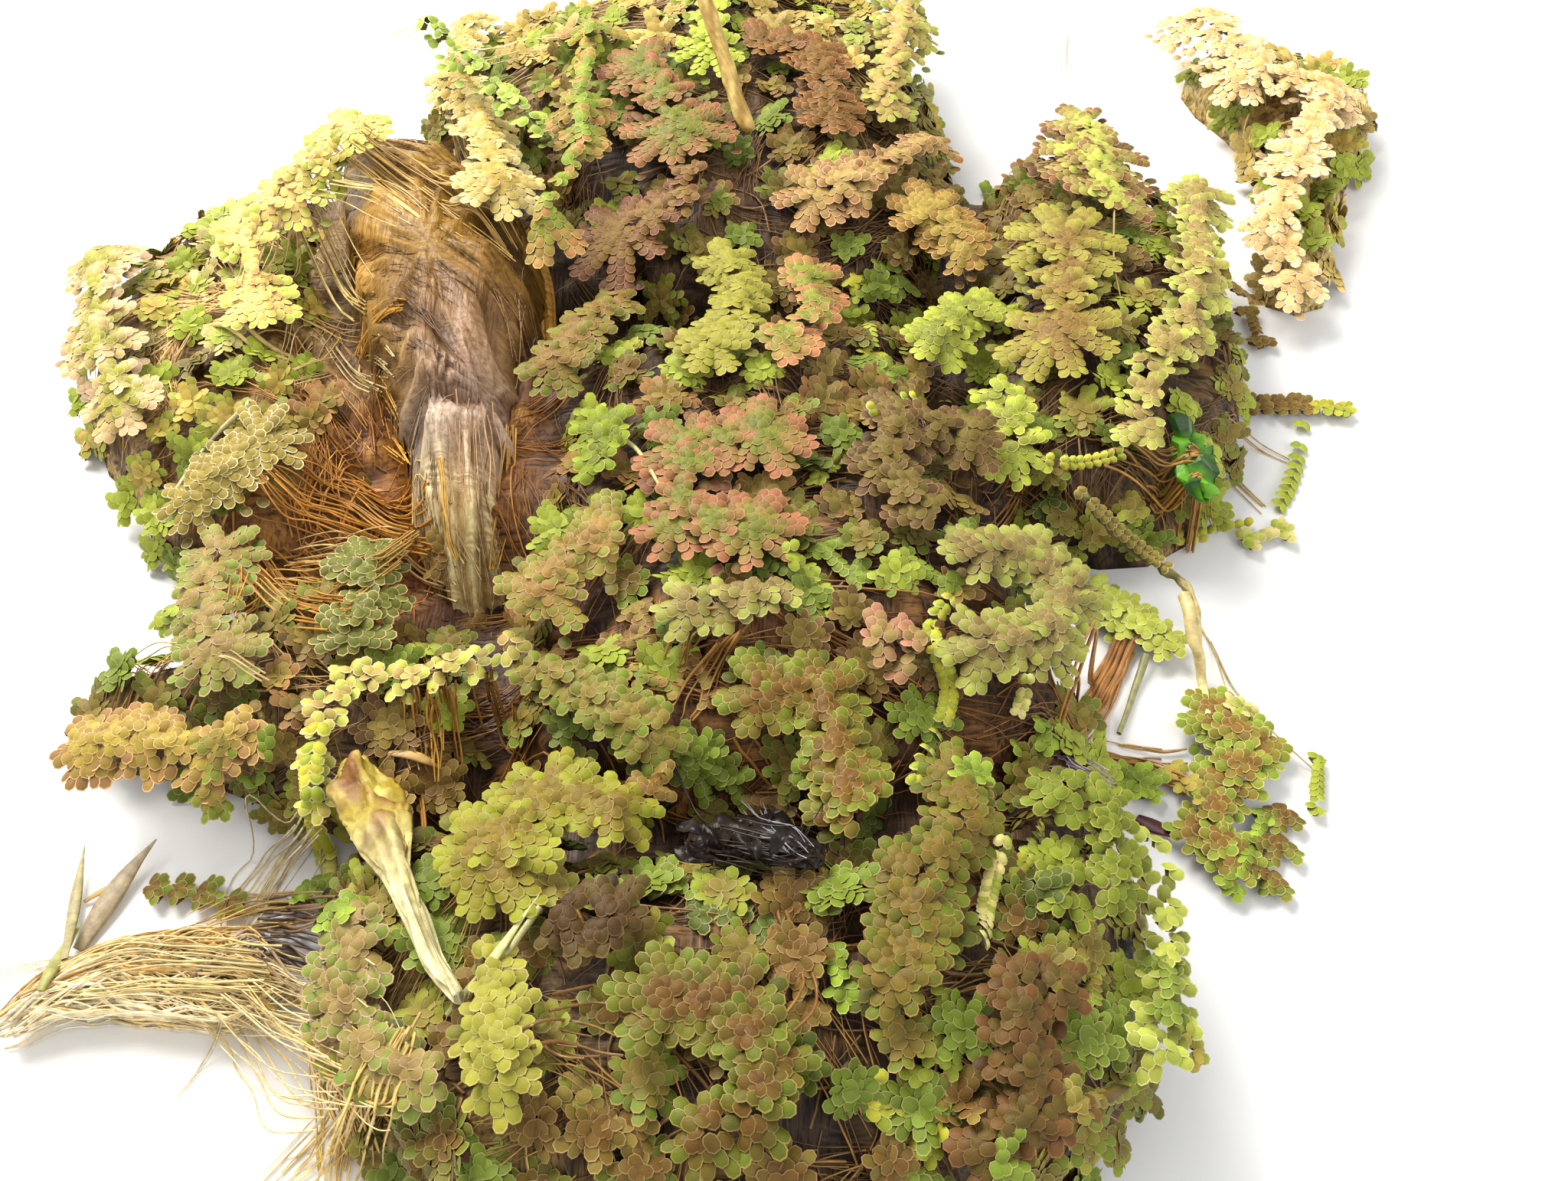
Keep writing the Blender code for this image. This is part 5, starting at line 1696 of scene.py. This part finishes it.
STRANDS = (
    # Painted highlights: thin pale blue-grey streaks over the wet litter
    ((0.34, 0.36, 0.42), 0.04, 4, 0.6, ((964, 1056), (990, 1080), (1020, 1084), (1050, 1108))),
    ((0.30, 0.32, 0.38), 0.04, 3, 0.4, ((1000, 1060), (1010, 1090), (1035, 1118))),
    ((0.030, 0.018, 0.012), 0.07, 8, 0.9, ((900, 1078), (960, 1092), (1030, 1108), (1092, 1130))),
    ((0.040, 0.024, 0.015), 0.05, 6, 0.8, ((880, 1112), (940, 1106), (1000, 1120), (1060, 1130))),
    ((0.036, 0.022, 0.014), 0.06, 5, 0.6, ((1010, 1050), (1040, 1085), (1075, 1115), (1090, 1128))),
    ((0.56, 0.30, 0.05), 0.10, 10, 1.2, ((545, 905), (548, 950), (552, 1000))),
    ((0.50, 0.25, 0.05), 0.11, 10, 1.0, ((580, 900), (582, 950), (590, 1010))),
    ((0.56, 0.28, 0.05), 0.12, 3, 0.3, ((556, 1050), (561, 1110), (568, 1175))),
    ((0.34, 0.27, 0.22), 0.11, 22, 1.5, ((335, 1225), (375, 1225), (415, 1240), (455, 1262))),
    ((0.20, 0.12, 0.06), 0.12, 12, 1.1, ((350, 1195), (395, 1190), (435, 1185))),
    ((0.74, 0.52, 0.18), 0.09, 14, 1.4, ((430, 1180), (380, 1195), (320, 1200), (260, 1215))),
    ((0.90, 0.74, 0.36), 0.07, 16, 1.6, ((450, 1300), (380, 1290), (300, 1280), (220, 1270))),
    ((0.94, 0.84, 0.52), 0.05, 12, 1.8, ((430, 1330), (350, 1318), (260, 1292), (150, 1275), (62, 1292))),
    ((0.92, 0.76, 0.40), 0.07, 22, 2.2, ((290, 1290), (345, 1325), (405, 1365), (470, 1395))),
    ((0.42, 0.36, 0.42), 0.05, 16, 0.9, ((1378, 1000), (1410, 1012), (1440, 1022))),
    ((0.50, 0.26, 0.06), 0.11, 12, 1.0, ((1450, 1000), (1500, 1010), (1550, 1030), (1590, 1050))),
    ((0.62, 0.40, 0.11), 0.07, 26, 1.3, ((455, 180), (520, 230), (590, 280), (660, 330))),
    ((0.80, 0.62, 0.24), 0.07, 16, 1.1, ((420, 240), (480, 250), (540, 285))),
    ((0.76, 0.58, 0.22), 0.08, 18, 1.1, ((480, 405), (430, 370), (380, 350), (330, 360))),
    ((0.82, 0.68, 0.34), 0.08, 18, 1.3, ((500, 500), (450, 480), (400, 490), (350, 500))),
    ((0.66, 0.36, 0.06), 0.09, 14, 0.7, ((520, 400), (480, 450), (462, 510), (480, 560), (530, 600))),
    ((0.72, 0.44, 0.10), 0.10, 5, 0.3, ((578, 600), (585, 650), (590, 700), (600, 730))),
    ((0.60, 0.30, 0.05), 0.10, 26, 2.0, ((560, 700), (500, 690), (440, 660), (380, 640), (340, 600))),
    ((0.86, 0.66, 0.30), 0.09, 16, 1.7, ((600, 760), (540, 740), (470, 720), (400, 730))),
    ((0.66, 0.34, 0.06), 0.10, 20, 1.5, ((440, 800), (390, 790), (340, 780), (300, 800))),
    ((0.70, 0.42, 0.10), 0.08, 14, 1.4, ((520, 720), (460, 760), (400, 770), (350, 760))),
    ((0.70, 0.68, 0.26), 0.22, 1, 0.0, ((800, 563), (835, 590), (869, 648))),
    ((0.46, 0.24, 0.06), 0.13, 10, 1.4, ((955, 820), (920, 860), (900, 900), (890, 930))),
    ((0.34, 0.17, 0.04), 0.14, 12, 2.2, ((600, 880), (610, 930), (620, 975), (640, 1000))),
    ((0.44, 0.20, 0.04), 0.18, 12, 0.9, ((1470, 845), (1450, 890), (1425, 930), (1395, 965))),
    ((0.30, 0.30, 0.13), 0.40, 1, 0.0, ((1497, 855), (1480, 905), (1460, 962))),
    ((0.66, 0.54, 0.24), 0.42, 1, 0.0, ((1546, 780), (1556, 840), (1566, 890), (1578, 935))),
    ((0.62, 0.42, 0.12), 0.10, 3, 0.6, ((1560, 585), (1610, 620), (1655, 665))),
    ((0.58, 0.38, 0.10), 0.09, 3, 0.5, ((1600, 545), (1640, 580), (1680, 600))),
    ((0.46, 0.24, 0.05), 0.14, 14, 0.8, ((1500, 650), (1525, 680), (1548, 712))),
    ((0.62, 0.48, 0.18), 0.12, 1, 0.0, ((1549, 790), (1585, 850), (1605, 910))),
    ((0.60, 0.47, 0.20), 0.09, 1, 0.0, ((1580, 840), (1610, 900), (1655, 950), (1720, 1010))),
    ((0.72, 0.60, 0.30), 0.07, 1, 0.0, ((1394, 49), (1392, 95), (1388, 144))),
    ((0.62, 0.45, 0.15), 0.08, 1, 0.0, ((1447, 295), (1455, 350), (1467, 403))),
    ((0.78, 0.62, 0.22), 0.20, 2, 0.5, ((279, 426), (350, 462), (420, 492))),
    ((0.70, 0.66, 0.34), 0.20, 1, 0.0, ((328, 527), (280, 570), (230, 639))),
    ((0.55, 0.52, 0.22), 0.18, 1, 0.0, ((705, 1185), (660, 1250), (610, 1313))),
    ((0.45, 0.50, 0.14), 0.20, 1, 0.0, ((710, 190), (680, 205), (653, 230))),
    ((0.30, 0.14, 0.03), 0.13, 10, 1.8, ((985, 1180), (1000, 1230), (1010, 1280), (990, 1330))),
    ((0.26, 0.14, 0.04), 0.12, 8, 1.6, ((679, 1330), (740, 1320), (800, 1340))),
    ((0.42, 0.22, 0.05), 0.13, 10, 1.4, ((1440, 590), (1490, 610), (1530, 650), (1560, 680))),
    ((0.55, 0.33, 0.10), 0.10, 6, 1.2, ((1530, 985), (1490, 985), (1450, 975))),
    ((0.86, 0.70, 0.32), 0.10, 16, 1.6, ((330, 1270), (250, 1265), (160, 1262), (90, 1275))),
    ((0.92, 0.78, 0.42), 0.08, 4, 0.8, ((150, 1262), (90, 1290), (10, 1350))),
    ((0.92, 0.80, 0.48), 0.07, 3, 0.5, ((120, 1250), (60, 1262), (2, 1275))),
    ((0.86, 0.62, 0.20), 0.11, 40, 1.7, ((500, 1370), (480, 1420), (465, 1480), (450, 1538))),
    ((0.90, 0.70, 0.28), 0.08, 10, 1.5, ((480, 1400), (430, 1470), (360, 1540))),
    ((0.86, 0.64, 0.24), 0.08, 18, 2.2, ((330, 1290), (380, 1340), (430, 1390), (480, 1420))),
    ((0.90, 0.78, 0.48), 0.06, 2, 0.6, ((300, 1340), (270, 1400), (240, 1440))),
    ((0.90, 0.76, 0.44), 0.07, 16, 2.0, ((430, 1060), (395, 1100), (365, 1150), (330, 1200))),
    ((0.85, 0.66, 0.30), 0.08, 5, 1.2, ((330, 890), (280, 860), (230, 850), (190, 870))),
    ((0.80, 0.66, 0.34), 0.08, 5, 1.5, ((520, 30), (600, 90), (680, 70), (740, 60))),
    ((0.50, 0.30, 0.14), 0.07, 16, 1.5, ((618, 540), (620, 590), (622, 640))),
    ((0.68, 0.40, 0.09), 0.09, 8, 0.3, ((668, 560), (668, 620), (660, 680), (645, 740))),
)


def strand_path(places, radius, spread, aside, tree, rng):
    """A wavering path along these places, shifted aside and lying on the clump."""
    path = []
    for k, (a, b) in enumerate(zip(places, places[1:])):
        for share in (0, 0.5):
            spot = a.lerp(b, share)
            wander = Vector([rng.uniform(-0.16, 0.16) * min(1.0, spread + 0.3) * MM for _ in range(2)])
            flat = spot.to_2d() + aside * (1 + 0.2 * k) + wander
            carried = top_of(tree, flat) or 0.0
            level = max(carried - 0.2 * MM, spot.z + aside.x * 0.3)
            path.append((flat.x, flat.y, max(radius, level + 0.1 * MM)))
    end = places[-1]
    path.append((end.x + aside.x, end.y + aside.y, max(radius, end.z)))
    return softened(path)


def strands(roots, tree, rng):
    """The single roots and stems, and the painted highlights on the litter, each row of them a loose bundle.
    """
    for tint, radius, count, spread, seen in STRANDS:
        places = [seen_on(tree, *p) for p in seen]
        sides = 6 if radius > 0.15 else 3
        for _ in range(count):
            aside = Vector([rng.uniform(-spread, spread) * MM for _ in range(2)])
            path = strand_path(places, radius * MM, spread, aside, tree, rng)
            shade = rng.uniform(0.75, 1.2)
            roots.add(path, radius * MM * rng.uniform(0.75, 1.2), np.array(tint) * shade, sides, 0.6)


# The pieces


def solid_pieces(matted, wet, dry, gloss):
    """The mats, the felt, the litter, the leaves, the stem and the stalk, wrought from their solids."""
    for name in MATS:
        wrought("mat_" + name, name, 7, mat_finish, matted, "roots", rounds=3)
    wrought("felt_sheet", "wet_root_felt", 13, felt_finish, wet, "roots", rounds=6)
    wrought("husk", "withered_leaf", 8, husk_finish, dry, "cream_frond")
    wrought("litter_folds", "black_litter", 12, litter_finish, gloss, "black_litter", rounds=1)
    put("litter_flakes", flakes(random.Random("flakes")), gloss, "black_litter")
    wet_leaf = tint_material("wet_leaf", 0.36, 0.4)
    wrought("leaf_scrap", "green_leaf_scrap", 2, scrap_finish, wet_leaf, "green_leaf", rounds=2, smooth=False)
    wrought("creeping", "creeping_stem", 4, stem_finish, dry, "green_stem")
    wrought("stalk_ribs", "ochre_stalk", 4, stalk_finish, dry, "straw_stalk")


def frond_pieces(leaf):
    """The plants, the small fronds and chains, and the scattered fronds."""
    slots = {s["node"]: s["material_slot"] for s in frame["record"]["subparts"]}
    for name in PLANTS:
        leaves = Leaves()
        dress_plant(name, leaves)
        put("leaves_" + name, leaves.mesh("leaves_" + name), leaf, slots[name], [name])
    rng = random.Random("fronds")
    leaves = Leaves()
    for look, reach, seen in FRONDS:
        small_frond(leaves, look, reach * MM, [seen_on(all_tree, *p) for p in seen], rng)
    for look, size, seen in CHAINS:
        chain(leaves, look, size, [seen_on(all_tree, *p) for p in seen], rng)
    put("small_fronds", leaves.mesh("small_fronds"), leaf, "lime_frond")
    for part, leaves in scatter_fronds(random.Random("scatter")).items():
        put("scattered_" + part, leaves.mesh("scattered_" + part), leaf, "olive_frond")


SCATTERED_COUNT, BUNDLE_COUNT, FIBRE_COUNT, TAIL_COUNT = 900, 310, 750, 330


def root_pieces(matted, wet, single):
    """The root carpet, and the single roots over the mats, the felt, the tail and the clump."""
    cover = carpet()
    put("root_carpet", cover, matted, "roots")
    mats = tree_over([cover, *solids(MATS)])
    rng = random.Random("roots")
    roots = Roots()
    scattered_roots(roots, mats, SCATTERED_COUNT, rng)
    root_bundles(roots, mats, BUNDLE_COUNT, rng)
    put("mat_roots", roots.mesh("mat_roots"), single, "roots")
    roots = Roots()
    felt_fibres(roots, FIBRE_COUNT, rng)
    felt_rim(roots, rng)
    put("felt_fibres", roots.mesh("felt_fibres"), wet, "roots")
    roots = Roots()
    tail_strands(roots, TAIL_COUNT, rng)
    put("tail_strands", roots.mesh("tail_strands"), single, "straw_stalk", ["root_tail"])
    roots = Roots()
    blades(roots)
    strands(roots, all_tree, rng)
    put("strands", roots.mesh("strands"), single, "straw_stalk")


def make_clump():
    """All materials and pieces of the clump."""
    leaf = leaf_material()
    matted = matted_material("matted_roots", 0.9, (0.72, 0.45))
    wet = matted_material("wet_felt", 0.45, (0.55, 0.34))
    dry = tint_material("dry_leaf", 0.5, 0.4)
    gloss = tint_material("glossy_litter", 0.3, 0.22)
    single = tint_material("single_roots", 0.42, 0.5)
    solid_pieces(matted, wet, dry, gloss)
    frond_pieces(leaf)
    root_pieces(matted, wet, single)


# The stage

LAMPS = (
    ("key", (-0.15, 0.17, 0.26), 0.22, 2.0, (1, 0.97, 0.92)),
    ("fill", (0.3, -0.3, 0.4), 0.4, 1.0, (1, 0.99, 0.97)),
)
FLOOR_SIZE = 6
FLOOR_PLACE = (0, 0, -0.02 * MM)
SKY_LIGHT = 0.66


def add_object(name, data, place, rotation):
    """A lamp or a camera in the scene."""
    made = bpy.data.objects.new(name, data)
    made.location = place
    made.rotation_euler = rotation.to_euler()
    bpy.context.scene.collection.objects.link(made)
    return made


def make_stage():
    """The white surface, soft light and the camera."""
    n = Nodes("white_surface")
    white = n.ramp(n.noise(40, 3), ((0.3, (0.9, 0.9, 0.89)), (0.7, (0.93, 0.93, 0.925))))
    bpy.ops.mesh.primitive_plane_add(size=FLOOR_SIZE, location=FLOOR_PLACE)
    floor = bpy.context.object
    floor.name = "floor"
    floor.data.materials.append(n.finish(white, 0.5))
    world = bpy.data.worlds.new("studio")
    bpy.context.scene.world = world
    world.use_nodes = True
    background = world.node_tree.nodes["Background"]
    background.inputs["Color"].default_value = (1, 1, 1, 1)
    background.inputs["Strength"].default_value = SKY_LIGHT
    for name, place, size, power, colour in LAMPS:
        lamp = bpy.data.lights.new(name, "AREA")
        lamp.size = size
        lamp.energy = power
        lamp.color = colour
        add_object(name, lamp, place, (LOOK_AT - Vector(place)).to_track_quat("-Z", "Y"))
    camera = bpy.data.cameras.new("camera")
    camera.lens = LENS
    camera.sensor_width = SENSOR
    camera.clip_start = 1 * MM
    bpy.context.scene.camera = add_object("camera", camera, EYE, AHEAD.to_track_quat("-Z", "Y"))
    bpy.context.scene.view_settings.view_transform = "Standard"


make_stage()
make_clump()

bpy.context.view_layer.update()
